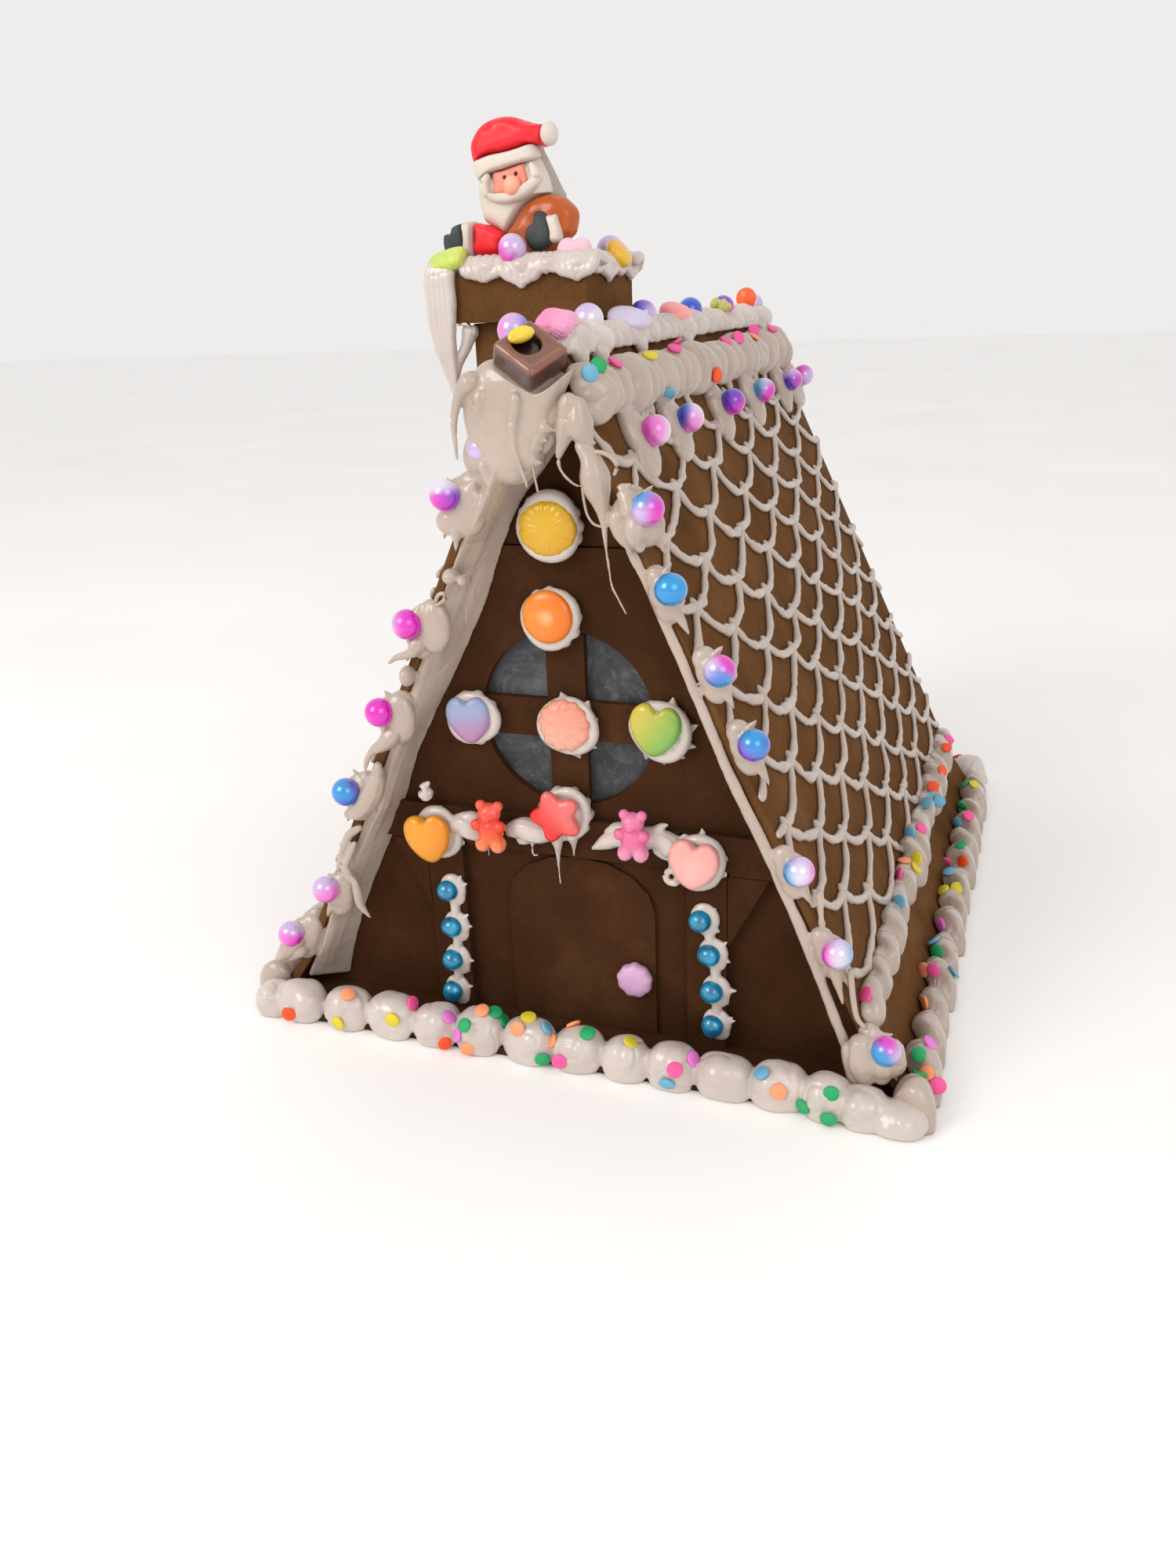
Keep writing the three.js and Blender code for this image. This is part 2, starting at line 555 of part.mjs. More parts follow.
// ---------------------------------------------------------------- verges: icing up both edges of a gable
// Places on a verge: v runs down the slope, u back from the gable's edge, h out of the roof.
// side is -1 or 1 for the left or right slope, gable 1 or -1 for the front or back one.
const underside = -SHEET - GAP;
const alongSlope = (side, gable, u) => (side * gable > 0 ? u : ROOF_LENGTH - u);
const outOfSlope = (side, geometry) => (
  toSolid(geometry.applyMatrix4(slopes[side > 0 ? 'right' : 'left'].matrix)));

function vergeStrip(side, gable, outline, from, to, steps) {
  const rings = Array.from({ length: steps + 1 }, (_, k) => {
    const v = from + (to - from) * k / steps;
    return outline(v, vary(0.12)).map(([u, h]) => [v, alongSlope(side, gable, u), h]);
  });
  return outOfSlope(side, loft(rings));
}

const thinStrip = (v, swell) => [[-0.4, -1], [-2.6 * swell, -1.4], [-2.8 * swell, -5 * swell],
  [-0.6, -7.2 * swell], [3, -6 * swell], [3, underside], [-0.4, underside]];
const fillet = (v, swell) => {
  const fat = swell * (v < 60 ? 1.5 - v / 120 : 1);
  return [[12.6, underside], [-0.8, underside], [-1.8, -4.6], [5, -7.2 * fat], [12.6, -12 * fat]];
};

// [distance down the slope, height above it] of each pearl on the front verges
const vergePearls = {
  left: [[18, 2], [35, 4], [80, 2], [114, 1], [149, 3], [191, -2], [218, 5]],
  right: [[40, 8], [64, 4], [92, 7], [117, 7], [160, 3], [190, 3], [227, 4]],
};
const apexDrips = [
  drip([[-8, -149.5, 229], [-16, -149.5, 226], [-22.5, -150, 216], [-24, -150, 207]], [6, 4.5, 2, 0.5]),
  drip([[-4, -149, 224], [-6, -149.5, 212], [-8.4, -147, 198]], [5, 2.6, 0.5]),
  drip([[4, -149, 222], [13, -147, 211], [17.5, -147.4, 199], [22, -142.5, 182], [25, -141, 160]],
    [5.5, 3, 4.4, 1.8, 0.4]),
];

// It leans forward and a little to the right, one corner down.
const CHOCOLATE = { size: 16, height: 8, tilt: 0.64, roll: 0.36, turn: 1.08, centre: [-1, -143.4, 236.2] };
const chocolateTurn = new THREE.Matrix4().makeRotationX(CHOCOLATE.tilt)
  .multiply(new THREE.Matrix4().makeRotationY(CHOCOLATE.roll))
  .multiply(new THREE.Matrix4().makeRotationZ(CHOCOLATE.turn));
const chocolateBox = (grow) => new THREE.BoxGeometry(
  CHOCOLATE.size + 2 * grow, CHOCOLATE.size + 2 * grow, CHOCOLATE.height + 2 * grow)
  .applyMatrix4(chocolateTurn).translate(...CHOCOLATE.centre);

const skirtGrown = (side) => (
  plate(skirtOutline(side, 0.4), -ROOF_HALF - 0.4, ROOF_HALF + 0.4).rotateX(Math.PI / 2));
const slatsGrown = worldBox(-LINTEL.halfLength - 0.4, LINTEL.halfLength + 0.4,
  -WALL_Y - SHEET - 2 * GAP - 0.1, -WALL_Y + 1, 44, LINTEL.top + 0.4);
const vergeCutters = [skirtGrown(-1), skirtGrown(1), slatsGrown, chocolateBox(GAP)].map(toSolid);

const frontPieces = [
  vergeStrip(-1, 1, fillet, 1, 236, 12),
  vergeStrip(1, 1, thinStrip, 4, 236, 9),
  ...[blob([18, 5, 13], [-4, -147.8, 225]), ...apexDrips].map(toSolid),
];
for (const [name, side] of [['left', -1], ['right', 1]]) {
  for (const [v, h] of vergePearls[name]) {
    const halfHeight = Math.max(h + 8, 8) / 2;
    const y = alongSlope(side, 1, -PEARL_RADIUS - 0.5);
    const dab = blob([6.5 * vary(0.1), PEARL_RADIUS, halfHeight], [v, y, h + 1 - halfHeight]);
    const bead = ball([PEARL_RADIUS, PEARL_RADIUS, PEARL_RADIUS], [v, y, h + 1]);
    frontPieces.push(outOfSlope(side, dab), outOfSlope(side, bead));
  }
}
add(house, 'verge_icing_front', largest(cutAway(join(frontPieces), vergeCutters)), icing);

const backPieces = [
  vergeStrip(-1, -1, thinStrip, 4, 236, 9),
  vergeStrip(1, -1, thinStrip, 4, 236, 9),
  toSolid(blob([17, 4.8, 13], [0, 147.4, 221])),
];
add(house, 'verge_icing_back', largest(cutAway(join(backPieces), vergeCutters)), icing);

const bean = ball([3, 1.9, 2], [0.8, 0.8, CHOCOLATE.height / 2 + 1])
  .applyMatrix4(chocolateTurn).translate(...CHOCOLATE.centre);
add(house, 'chocolate', toSolid(chocolateBox(0)).add(toSolid(bean)), milkBrown);

// ---------------------------------------------------------------- icing and pearls on the chimney
// [height over the collar's top, share of its half width] of each ring of the rim's icing
const rimLevels = [[-5, 1.04], [-1.5, 1.12], [3.5, 1.1], [6.2, 0.84]];
const rimSides = 24;
const rimRings = rimLevels.map(([height, scale], level) => Array.from({ length: rimSides }, (_, k) => {
  const angle = 2 * Math.PI * k / rimSides;
  const [cos, sin] = [Math.cos(angle), Math.sin(angle)];
  const square = 1 / Math.max(Math.abs(cos), Math.abs(sin)) ** 0.8;
  const reach = CHIMNEY.halfCollar * scale * square;
  const droop = level ? 0 : 3.5 * (k % 3 === 0 ? 1 : -0.2);
  return [CHIMNEY.x + reach * cos, CHIMNEY.y + reach * sin, CHIMNEY.top + height - droop];
}));
const rimTop = CHIMNEY.top + rimLevels.at(-1)[0];
const cornerDrip = drip(
  [[-63, -70, 262], [-63.5, -70.5, 250], [-62.6, -70, 236], [-61, -69.5, 219]], [5.2, 4.2, 2.6, 0.6]);
add(house, 'chimney_icing', join([
  cutAway(join([loft(rimRings), cornerDrip].map(toSolid)), [collarGrown(GAP), shaftGrown(GAP)].map(toSolid)),
  pearl(-36.8, -68.5, rimTop + 2.4),
  pearl(-15, -27, rimTop + 2.4)]), icing);

// ---------------------------------------------------------------- sweets
function heartOutline(width, count = 14) {
  const scale = width / 32;
  return Array.from({ length: count }, (_, k) => {
    const t = 2 * Math.PI * k / count;
    const x = 16 * Math.sin(t) ** 3;
    const y = 13 * Math.cos(t) - 5 * Math.cos(2 * t) - 2 * Math.cos(3 * t) - Math.cos(4 * t);
    return [x * scale, (y + 2) * scale];
  });
}

const lobed = (radius, lobes, depth, count) => Array.from({ length: count }, (_, k) => {
  const angle = 2 * Math.PI * k / count;
  const reach = radius * (1 - depth + depth * Math.cos(lobes * angle));
  return [-reach * Math.sin(angle), reach * Math.cos(angle)];
});
const starOutline = (radius) => lobed(radius, 5, 0.2, 10);
const shellOutline = (width) => [
  ...Array.from({ length: 11 }, (_, k) => {
    const angle = -0.35 + (Math.PI + 0.7) * k / 10;
    const reach = width / 2 * (k % 2 ? 0.92 : 1);
    return [reach * Math.cos(angle), 0.95 * reach * Math.sin(angle)];
  }),
  [-width * 0.12, -width * 0.42], [width * 0.12, -width * 0.42],
];

function withHole(geometry, radius) {
  return toSolid(geometry).subtract(toSolid(plate(circle(radius, 6), -1, 8)));
}

// A gummy bear lying on its back: body, head, ears, arms and legs, as shares of its height.
function bear(height) {
  const part = (x, y, z, rx, ry, rz, shape = blob) => (
    toSolid(shape([rx, ry, rz], [x, y, z]).scale(height, height, height)));
  const paw = (...sizes) => part(...sizes, octahedron);
  return join([
    part(0, -0.08, 0.24, 0.25, 0.3, 0.22),
    part(0, 0.28, 0.26, 0.21, 0.2, 0.2),
    ...[-1, 1].flatMap((side) => [
      paw(side * 0.14, 0.39, 0.22, 0.12, 0.12, 0.12),
      paw(side * 0.21, 0.05, 0.3, 0.16, 0.12, 0.16),
      paw(side * 0.15, -0.32, 0.24, 0.16, 0.18, 0.2),
    ]),
  ]);
}

const rosette = (radius, height, lobes) => (
  stack(lobed(radius, lobes, 0.06, 14), height, [[0, 1], [0.6, 0.96], [1, 0.62]]));

// Sweets on the bare wall, each on a rosette: `dab` is the rosette's middle and radius.
const ROSETTE_HEIGHT = 4;
const wallSweets = [
  { name: 'citrus_slice', at: [-2.4, 184.8], dab: [-0.2, 185.6, 11], lobes: 3, look: gummy(0xf0c419),
    shape: sweet(circle(9, 14), 4.5) },
  { name: 'orange_ring', at: [-2.8, 157], dab: [-1.2, 155.6, 9.6], lobes: 7, look: gummy(0xf29a1c),
    shape: withHole(sweet(circle(8, 14), 5), 1.3) },
  { name: 'blue_heart', at: [-33.9, 119.4], dab: [-31.8, 119.6, 9.6], lobes: 7, look: gummy(0x8d8fd0),
    shape: sweet(heartOutline(16.4), 5) },
  { name: 'shell', at: [1.4, 119.8], dab: [2.2, 119.9, 10.3], lobes: 7, look: gummy(0xf2aa9a),
    shape: sweet(shellOutline(16.8), 5) },
  { name: 'green_heart', at: [32.8, 121.5], dab: [35.2, 120.6, 10.1], lobes: 7, look: gummy(0xc4cf3c),
    shape: sweet(heartOutline(16.4), 5) },
];
for (const { name, at, dab: [x, z, radius], lobes, look, shape } of wallSweets) {
  add(front, `rosette_${name}`, rosette(radius, ROSETTE_HEIGHT, lobes), icing).position.set(x, z, wallFace);
  add(front, name, shape, look).position.set(...at, wallFace + ROSETTE_HEIGHT + GAP);
}

// Icing along the lintel: dollops joined by a smear, cut to sit on the lintel, posts and braces.
const dollopHeight = ROSETTE_HEIGHT + SHEET;
const dollop = (x, z, radius) => rosette(radius, dollopHeight, 7).translate(x, z, wallFace);
const smear = (from, to, z) => {
  const radii = [3.4, 3.8, 3, 3.7, 3.4];
  const step = (to - from) / (radii.length - 1);
  return drip(radii.map((_, k) => [from + step * k, z + (k % 2 ? 0.8 : -0.6), slatFace + 1.6]), radii);
};
const timbersGrown = [
  mirrored([[LINTEL.halfLength + GAP, LINTEL.bottom - GAP], [LINTEL.halfLength + GAP, LINTEL.top + GAP]]),
  mirrored([[POST.outer + BRACE.reach + 1, 30], [POST.outer + BRACE.reach + 1, LINTEL.bottom + 1]]),
].map((outline) => toSolid(plate(outline, -1, slatFace + GAP)));
const lintelIcing = {
  left: [dollop(-50.2, 75.3, 9.9), dollop(-0.1, 88.3, 10), smear(-46, -4, 79.8),
    drip([[-1, 82, 5.6], [-2.6, 72, 5.8], [-3.7, 62, 5]], [1.6, 1.6, 0.4])],
  right: [dollop(46.2, 76, 10.4), smear(12, 37, 82.6)],
};
for (const [side, pieces] of Object.entries(lintelIcing)) {
  add(front, `lintel_icing_${side}`, largest(cutAway(join(pieces.map(toSolid)), timbersGrown)), icing);
}

const onDollop = wallFace + dollopHeight + GAP;
const onSmear = slatFace + 5.2;
const porchSweets = [
  { name: 'star', at: [-2.7, 87.4, onDollop], shape: sweet(starOutline(8.4), 4.5), look: gummy(0xf2545a) },
  { name: 'orange_heart', at: [-53.2, 73.1, onDollop], look: gummy(0xf29a1c),
    shape: withHole(sweet(heartOutline(16.6), 5), 1.1) },
  { name: 'pink_heart', at: [45.2, 75.2, onDollop], look: gummy(0xf4a6a8),
    shape: withHole(sweet(heartOutline(16.8), 5), 1.1) },
  { name: 'red_bear', at: [-27.6, 80.7, onSmear], shape: bear(17), look: gummy(0xf0553c) },
  { name: 'pink_bear', at: [25.3, 82.6, onSmear], shape: bear(18), look: gummy(0xee86b4) },
  { name: 'door_knob', at: [22.6, 26.2, wallFace + THIN_SHEET + GAP], look: gummy(0xc9a0d8),
    shape: sweet(lobed(6.6, 7, 0.04, 14), 5) },
];
porchSweets.forEach(({ name, at, shape, look }) => add(front, name, shape, look).position.set(...at));

// Blue beads down the posts, each half sunk in a strip of icing: [x, height] of each.
const beadStrips = {
  left: { x: -48, top: 60, beads: [[-47.5, 53], [-47.2, 38], [-47.8, 24], [-49, 10.5]] },
  right: { x: 50, top: 62, beads: [[47.3, 54.6], [50.3, 41.8], [51.4, 27.5], [51.6, 14]] },
};
const stripFoot = 6;
for (const [name, { x, top, beads }] of Object.entries(beadStrips)) {
  const strip = pipedRow({
    length: top - stripFoot, blobs: 4, halfWidth: 5.2, height: 2.6, sides: 5, at: [x, stripFoot, slatFace] });
  const bead = [BLUE_BALL_RADIUS, BLUE_BALL_RADIUS, BLUE_BALL_RADIUS];
  const balls = beads.map(([beadX, z]) => toSolid(blob(bead, [beadX, z, slatFace + 5])));
  add(front, `post_icing_${name}`, join([toSolid(strip), ...balls]), icing);
}

// Sweets along the ridge lie on the icing, and three more lie round the chimney's rim.
const ridgeRest = RIDGE_ROW.top + 2 * GAP;
const rimRest = rimTop + GAP;
const roofSweets = [
  { name: 'ridge_pink_gummy', at: [0, -121, ridgeRest], color: 0xf3a3cf,
    shape: sweet(lobed(5, 4, 0.08, 12), 6) },
  { name: 'ridge_lilac_disc', at: [0, -61, ridgeRest], color: 0xc9bfe0, shape: sweet(circle(7.6, 12), 5) },
  { name: 'ridge_coral_drop', at: [0, -5, ridgeRest], color: 0xf49a9c, shape: sweet(circle(6.2, 12), 6) },
  { name: 'ridge_bear', at: [0, 66, ridgeRest], color: 0xc8cc78, shape: bear(13) },
  { name: 'rim_lime_gummy', at: [-58, -66, rimRest], color: 0xc4dc58,
    shape: sweet(lobed(7, 2, 0.14, 12), 5) },
  { name: 'rim_pink_heart', at: [-18, -62, rimRest], color: 0xf0b0cc, shape: sweet(heartOutline(14), 5) },
  { name: 'rim_yellow_disc', at: [-12, -38.5, rimRest], color: 0xf4bc1c, shape: sweet(circle(5.6, 12), 5) },
];
roofSweets.forEach(({ name, at, color, shape }) => add(house, name, shape, gummy(color)).position.set(...at));

// ---------------------------------------------------------------- Santa
// A clay figure with a flat back: hat and bobble, head and beard, an arm with its mitten, and a sack.
function santa() {
  const turned = (rings) => loft(rings.map(([x, y, z, wide, deep, tilt = 0]) => (
    circle(1, 8).map(([cos, sin]) => [x + wide * cos, y + deep * sin, z + tilt * cos]))));
  const pieces = [
    turned([[-46, -48, 293, 11.5, 9, 2.2], [-46, -48, 299, 11.6, 9, 2.2],
      [-45, -48, 305, 9.4, 7, 2], [-42, -48, 309.4, 5, 4, 0.6]]),
    drip([[-42, -48, 305.5], [-35, -48, 305], [-29.5, -48, 303.6]], [4.4, 3.4, 2.6]),
    turned([[-43, -48, 292.4, 11.7, 9, 2.2], [-43, -48, 294.4, 13, 9.8, 2.2],
      [-43, -48, 296.4, 12.2, 9.4, 2.2]]),
    turned([[-37, -44.5, 265, 13.5, 9], [-37, -44.5, 280, 14, 8.4], [-37, -44.5, 292, 10, 7.6],
      [-37, -44.5, 298, 7, 6]]),
    blob([3.4, 3.2, 3.6], [-28, -48, 303.6]),
    ball([11, 7.6, 12.5], [-42, -50, 284]),
    blob([3, 2.4, 3], [-41.7, -57.2, 288.3]),
    ball([9, 8, 10.5], [-26, -49, 275]),
    blob([4.2, 3.4, 5.6], [-32.5, -56, 273]),
    blob([7.6, 6, 5], [-52, -53, 271.5]),
    blob([2, 5.4, 5.2], [-57, -54, 271.6]),
    blob([4.6, 4, 4.6], [-62, -54.5, 271.6]),
  ];
  const rim = worldBox(-80, 0, -90, 0, 240, rimRest);
  return join(pieces.map(toSolid)).subtract(toSolid(rim));
}
add(house, 'santa', santa(), santaRed);

export default house;
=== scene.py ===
"""Looks of the craft gingerbread house: piped icing, pearls, sweets, a clay Santa and brown sheets.

All shapes are worked out in millimetres, in the CAD's own frame, and turned into metres when a
piece is made. The front faces -Y.
"""

import math

import bmesh
import bpy
import numpy as np
from mathutils import Matrix, Vector
from mathutils.bvhtree import BVHTree


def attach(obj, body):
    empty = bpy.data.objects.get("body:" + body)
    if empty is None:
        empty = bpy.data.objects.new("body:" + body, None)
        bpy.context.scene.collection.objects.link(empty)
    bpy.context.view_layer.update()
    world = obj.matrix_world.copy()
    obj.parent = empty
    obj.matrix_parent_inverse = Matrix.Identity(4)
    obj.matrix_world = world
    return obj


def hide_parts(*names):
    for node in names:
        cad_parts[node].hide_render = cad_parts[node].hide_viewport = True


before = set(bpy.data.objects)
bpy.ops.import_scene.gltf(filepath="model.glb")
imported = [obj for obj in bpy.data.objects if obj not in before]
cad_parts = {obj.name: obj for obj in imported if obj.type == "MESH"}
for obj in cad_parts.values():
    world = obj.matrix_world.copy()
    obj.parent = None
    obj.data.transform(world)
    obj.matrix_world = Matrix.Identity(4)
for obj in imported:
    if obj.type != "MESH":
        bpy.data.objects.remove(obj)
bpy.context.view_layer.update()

MM = 0.001
SIDES = (("left", -1), ("right", 1))
# The house, in mm. BREAK and EAVE are the (x, z) of the top and the foot of the right roof sheet.
ROOF_LENGTH = 285.0
ROOF_HALF = ROOF_LENGTH / 2
WALL_Y = 129.5
SHEET = 3.0
BREAK = np.array([10.0, 226.3])
EAVE = np.array([106.7, 23.0])
SLOPE_LENGTH = float(np.hypot(*(EAVE - BREAK)))
DOWN = (EAVE - BREAK) / SLOPE_LENGTH
OUT = np.array([-DOWN[1], DOWN[0]])
RIDGE_START = -130.0
BOARD_X, BOARD_Y = 121.0, 155.0
SLAT_FACE = 3.3
CHIMNEY = (-35.0, -44.7)
HALF_COLLAR = 25.0
PEARL_RADIUS = 5.0


# ------------------------------------------------------------------ places
def on_slope(side, points):
    """(v down the slope, u back from its front edge, h out of it) as x, y, z."""
    v, u, h = np.moveaxis(np.asarray(points, float), -1, 0)
    x = BREAK[0] + v * DOWN[0] + h * OUT[0]
    z = BREAK[1] + v * DOWN[1] + h * OUT[1]
    return np.stack([side * x, u - ROOF_HALF, z], -1)


def on_front(points):
    """(x, height, h out of the front wall) as x, y, z."""
    x, z, h = np.moveaxis(np.asarray(points, float), -1, 0)
    return np.stack([x, -WALL_Y - h, z], -1)


# ------------------------------------------------------------------ camera
CAMERA_AT = np.array([143.19, -487.13, 252.05])
YAW, PITCH, ROLL = 0.3654, 0.3827, -0.0401
LENS, SENSOR = 27.87, 36
PHOTO = (1500, 2000)


def camera_axes():
    """The camera's right, up and ahead."""
    ahead = np.array([-math.sin(YAW) * math.cos(PITCH), math.cos(YAW) * math.cos(PITCH), -math.sin(PITCH)])
    level = np.array([math.cos(YAW), math.sin(YAW), 0.0])
    upright = np.cross(level, ahead)
    right = math.cos(ROLL) * level + math.sin(ROLL) * upright
    up = -math.sin(ROLL) * level + math.cos(ROLL) * upright
    return right, up, ahead


RIGHT, UP, AHEAD = camera_axes()


def make_camera():
    data = bpy.data.cameras.new("camera")
    data.lens = LENS
    data.sensor_width = SENSOR
    data.clip_start, data.clip_end = 0.01, 20
    camera = bpy.data.objects.new("camera", data)
    bpy.context.scene.collection.objects.link(camera)
    turn = Matrix([RIGHT, UP, -AHEAD]).transposed().to_4x4()
    camera.matrix_world = Matrix.Translation(Vector(CAMERA_AT * MM)) @ turn
    bpy.context.scene.camera = camera


def line_through(px, py):
    """The direction from the camera's place through a point of the photo's frame."""
    focal = LENS / SENSOR * PHOTO[1]
    ray = RIGHT * (px - PHOTO[0] / 2) / focal + UP * (PHOTO[1] / 2 - py) / focal + AHEAD
    return ray / np.linalg.norm(ray)


def on_plane(px, py, y):
    """Where the line through a point of the photo's frame meets the upright plane at y."""
    ray = line_through(px, py)
    return CAMERA_AT + ray * ((y - CAMERA_AT[1]) / ray[1])


def drawn(points, y):
    """(px, py, radius) points as (x, y, z, radius), each on the upright plane at its y."""
    depths = np.broadcast_to(np.asarray(y, float), len(points))
    return [(*on_plane(px, py, depth), radius) for (px, py, radius), depth in zip(points, depths)]


def drawn_outline(points, y):
    """(px, py) points as (x, z) on the upright plane at y."""
    return [tuple(on_plane(px, py, y)[[0, 2]]) for px, py in points]


# ------------------------------------------------------------------ shapes
# A shape is (points, faces): an array of points in mm and a list of arrays of faces.
def merged(shapes):
    points, faces, first = [], [], 0
    for shape_points, shape_faces in shapes:
        points.append(shape_points)
        faces += [np.asarray(f) + first for f in shape_faces]
        first += len(shape_points)
    return np.concatenate(points), faces


BALLS = {}


def taken_from(bm):
    """A bmesh of triangles as points and faces."""
    bm.verts.ensure_lookup_table()
    points = np.array([v.co[:] for v in bm.verts])
    faces = np.array([[v.index for v in f.verts] for f in bm.faces])
    bm.free()
    return points, faces


def unit_ball(level):
    if level not in BALLS:
        bm = bmesh.new()
        bmesh.ops.create_icosphere(bm, subdivisions=level, radius=1)
        BALLS[level] = taken_from(bm)
    return BALLS[level]


def turned(axis, angle):
    return np.array(Matrix.Rotation(angle, 3, Vector(axis)))


def placed(points, centre, radii, turn=None):
    """A unit shape's points at a size, turn and place."""
    points = points * np.asarray(radii, float)
    if turn is not None:
        points = points @ turn.T
    return points + np.asarray(centre, float)


def ellipsoid(centre, radii, turn=None, level=3):
    points, faces = unit_ball(level)
    return placed(points, centre, radii, turn), [faces]


def plump(centre, radii, turn, fullness=2.3):
    """An ellipsoid with fuller corners."""
    points, faces = unit_ball(4)
    points = points / (np.abs(points) ** fullness).sum(1)[:, None] ** (1 / fullness)
    return placed(points, centre, radii, turn), [faces]


def loft(rings, closed=True, caps=True):
    """A skin over equal rings (n, m, 3). Each end is closed by a fan."""
    rings = np.asarray(rings, float)
    n, m = rings.shape[:2]
    points = rings.reshape(-1, 3)
    side = np.arange(m if closed else m - 1)
    row = np.arange(n - 1)[:, None] * m
    a, b = row + side, row + (side + 1) % m
    faces = [np.stack([a, b, b + m, a + m], -1).reshape(-1, 4)]
    if caps:
        hubs = np.stack([rings[0].mean(0), rings[-1].mean(0)])
        points = np.concatenate([points, hubs])
        rim = np.stack([side, (side + 1) % m], -1)
        first = np.concatenate([rim[:, ::-1], np.full((len(rim), 1), n * m)], 1)
        last = np.concatenate([rim + (n - 1) * m, np.full((len(rim), 1), n * m + 1)], 1)
        faces += [first, last]
    return points, faces


PATH_STEP = 0.8


def spline(p0, p1, p2, p3, t):
    """Points between p1 and p2 on a Catmull-Rom curve."""
    return 0.5 * (2 * p1 + (p2 - p0) * t + (2 * p0 - 5 * p1 + 4 * p2 - p3) * t ** 2
                  + (3 * p1 - p0 - 3 * p2 + p3) * t ** 3)


def smooth_path(points):
    """Close-set points on a smooth curve through the given ones, with any extra columns."""
    points = np.asarray(points, float)
    ends = np.concatenate([2 * points[:1] - points[1:2], points, 2 * points[-1:] - points[-2:-1]])
    out = []
    for k in range(1, len(ends) - 2):
        p0, p1, p2, p3 = ends[k - 1:k + 3]
        count = max(2, int(np.linalg.norm((p2 - p1)[:3]) / PATH_STEP))
        out.append(spline(p0, p1, p2, p3, np.arange(count)[:, None] / count))
    return np.concatenate([*out, points[-1:]])


def closed_path(points, count):
    """A smooth closed outline of `count` points through the given ones."""
    points = np.asarray(points, float)
    n = len(points)
    t = np.arange(count) * n / count
    k = t.astype(int)
    return spline(*(points[(k + d) % n] for d in (-1, 0, 1, 2)), (t - k)[:, None])


TUBE_CAP = np.array([0.97, 0.7])


def tube(path, radii, sides=10, up=(0, 0, 1), flat=1.0):
    """A string with round ends along a path. `flat` squeezes it along `up`."""
    path = np.asarray(path, float)
    radii = np.broadcast_to(np.asarray(radii, float), len(path)).copy()
    along = np.gradient(path, axis=0)
    along /= np.linalg.norm(along, axis=1)[:, None] + 1e-9
    up = np.asarray(up, float)
    across = np.cross(up, along)
    weak = np.linalg.norm(across, axis=1) < 0.15
    across[weak] = np.cross(np.roll(up, 1), along[weak])
    across /= np.linalg.norm(across, axis=1)[:, None]
    high = np.cross(along, across)
    head = path[0] - along[0] * radii[0] * TUBE_CAP[:, None]
    tail = path[-1] + along[-1] * radii[-1] * TUBE_CAP[::-1][:, None]
    path = np.concatenate([head, path, tail])
    size = np.sqrt(1 - TUBE_CAP ** 2)
    radii = np.concatenate([radii[0] * size, radii, radii[-1] * size[::-1]])
    across, high = (np.concatenate([a[:1], a[:1], a, a[-1:], a[-1:]]) for a in (across, high))
    angle = 2 * np.pi * np.arange(sides) / sides
    ring = (across[:, None] * np.cos(angle)[None, :, None]
            + flat * high[:, None] * np.sin(angle)[None, :, None])
    return loft(path[:, None] + ring * radii[:, None, None])


def string(points, sides=10):
    """A tube through (x, y, z, radius) points."""
    path = smooth_path(points)
    return tube(path[:, :3], np.maximum(path[:, 3], 0.08), sides)


WAVE_COUNT = 14


def waves(points, size, seed):
    """A smooth random field between about -1 and 1, whose lumps are about `size` mm wide."""
    rng = np.random.default_rng(seed)
    total = np.zeros(len(points))
    for _ in range(WAVE_COUNT):
        way = rng.normal(size=3)
        way *= 2 * np.pi / (np.linalg.norm(way) * 2 * rng.uniform(0.7, 1.6))
        total += np.sin((points / size) @ way + rng.uniform(0, 2 * np.pi))
    return total / math.sqrt(WAVE_COUNT / 2) / 1.6


def smoothstep(low, high, value):
    """0 below low, 1 above high, and a soft rise between them."""
    t = np.clip((value - low) / (high - low), 0, 1)
    return t * t * (3 - 2 * t)


# ------------------------------------------------------------------ meshes
def to_mesh(name, shape):
    """A Blender mesh of a shape, in metres."""
    points, faces = shape
    mesh = bpy.data.meshes.new(name)
    sizes = np.concatenate([np.full(len(f), f.shape[1]) for f in faces]).astype(np.int32)
    corners = np.concatenate([f.ravel() for f in faces]).astype(np.int32)
    mesh.vertices.add(len(points))
    mesh.vertices.foreach_set("co", (points * MM).astype(np.float32).ravel())
    mesh.loops.add(len(corners))
    mesh.loops.foreach_set("vertex_index", corners)
    mesh.polygons.add(len(sizes))
    starts = np.concatenate([[0], np.cumsum(sizes)[:-1]]).astype(np.int32)
    mesh.polygons.foreach_set("loop_start", starts)
    mesh.update(calc_edges=True)
    mesh.validate()
    return mesh


def from_mesh(mesh):
    """A Blender mesh as a shape, in mm."""
    points = np.zeros(len(mesh.vertices) * 3, np.float32)
    mesh.vertices.foreach_get("co", points)
    sizes = np.zeros(len(mesh.polygons), np.int32)
    mesh.polygons.foreach_get("loop_total", sizes)
    corners = np.zeros(len(mesh.loops), np.int32)
    mesh.loops.foreach_get("vertex_index", corners)
    starts = np.concatenate([[0], np.cumsum(sizes)[:-1]])
    faces = []
    for size in np.unique(sizes):
        first = starts[sizes == size]
        faces.append(corners[first[:, None] + np.arange(size)])
    return points.reshape(-1, 3).astype(float) / MM, faces


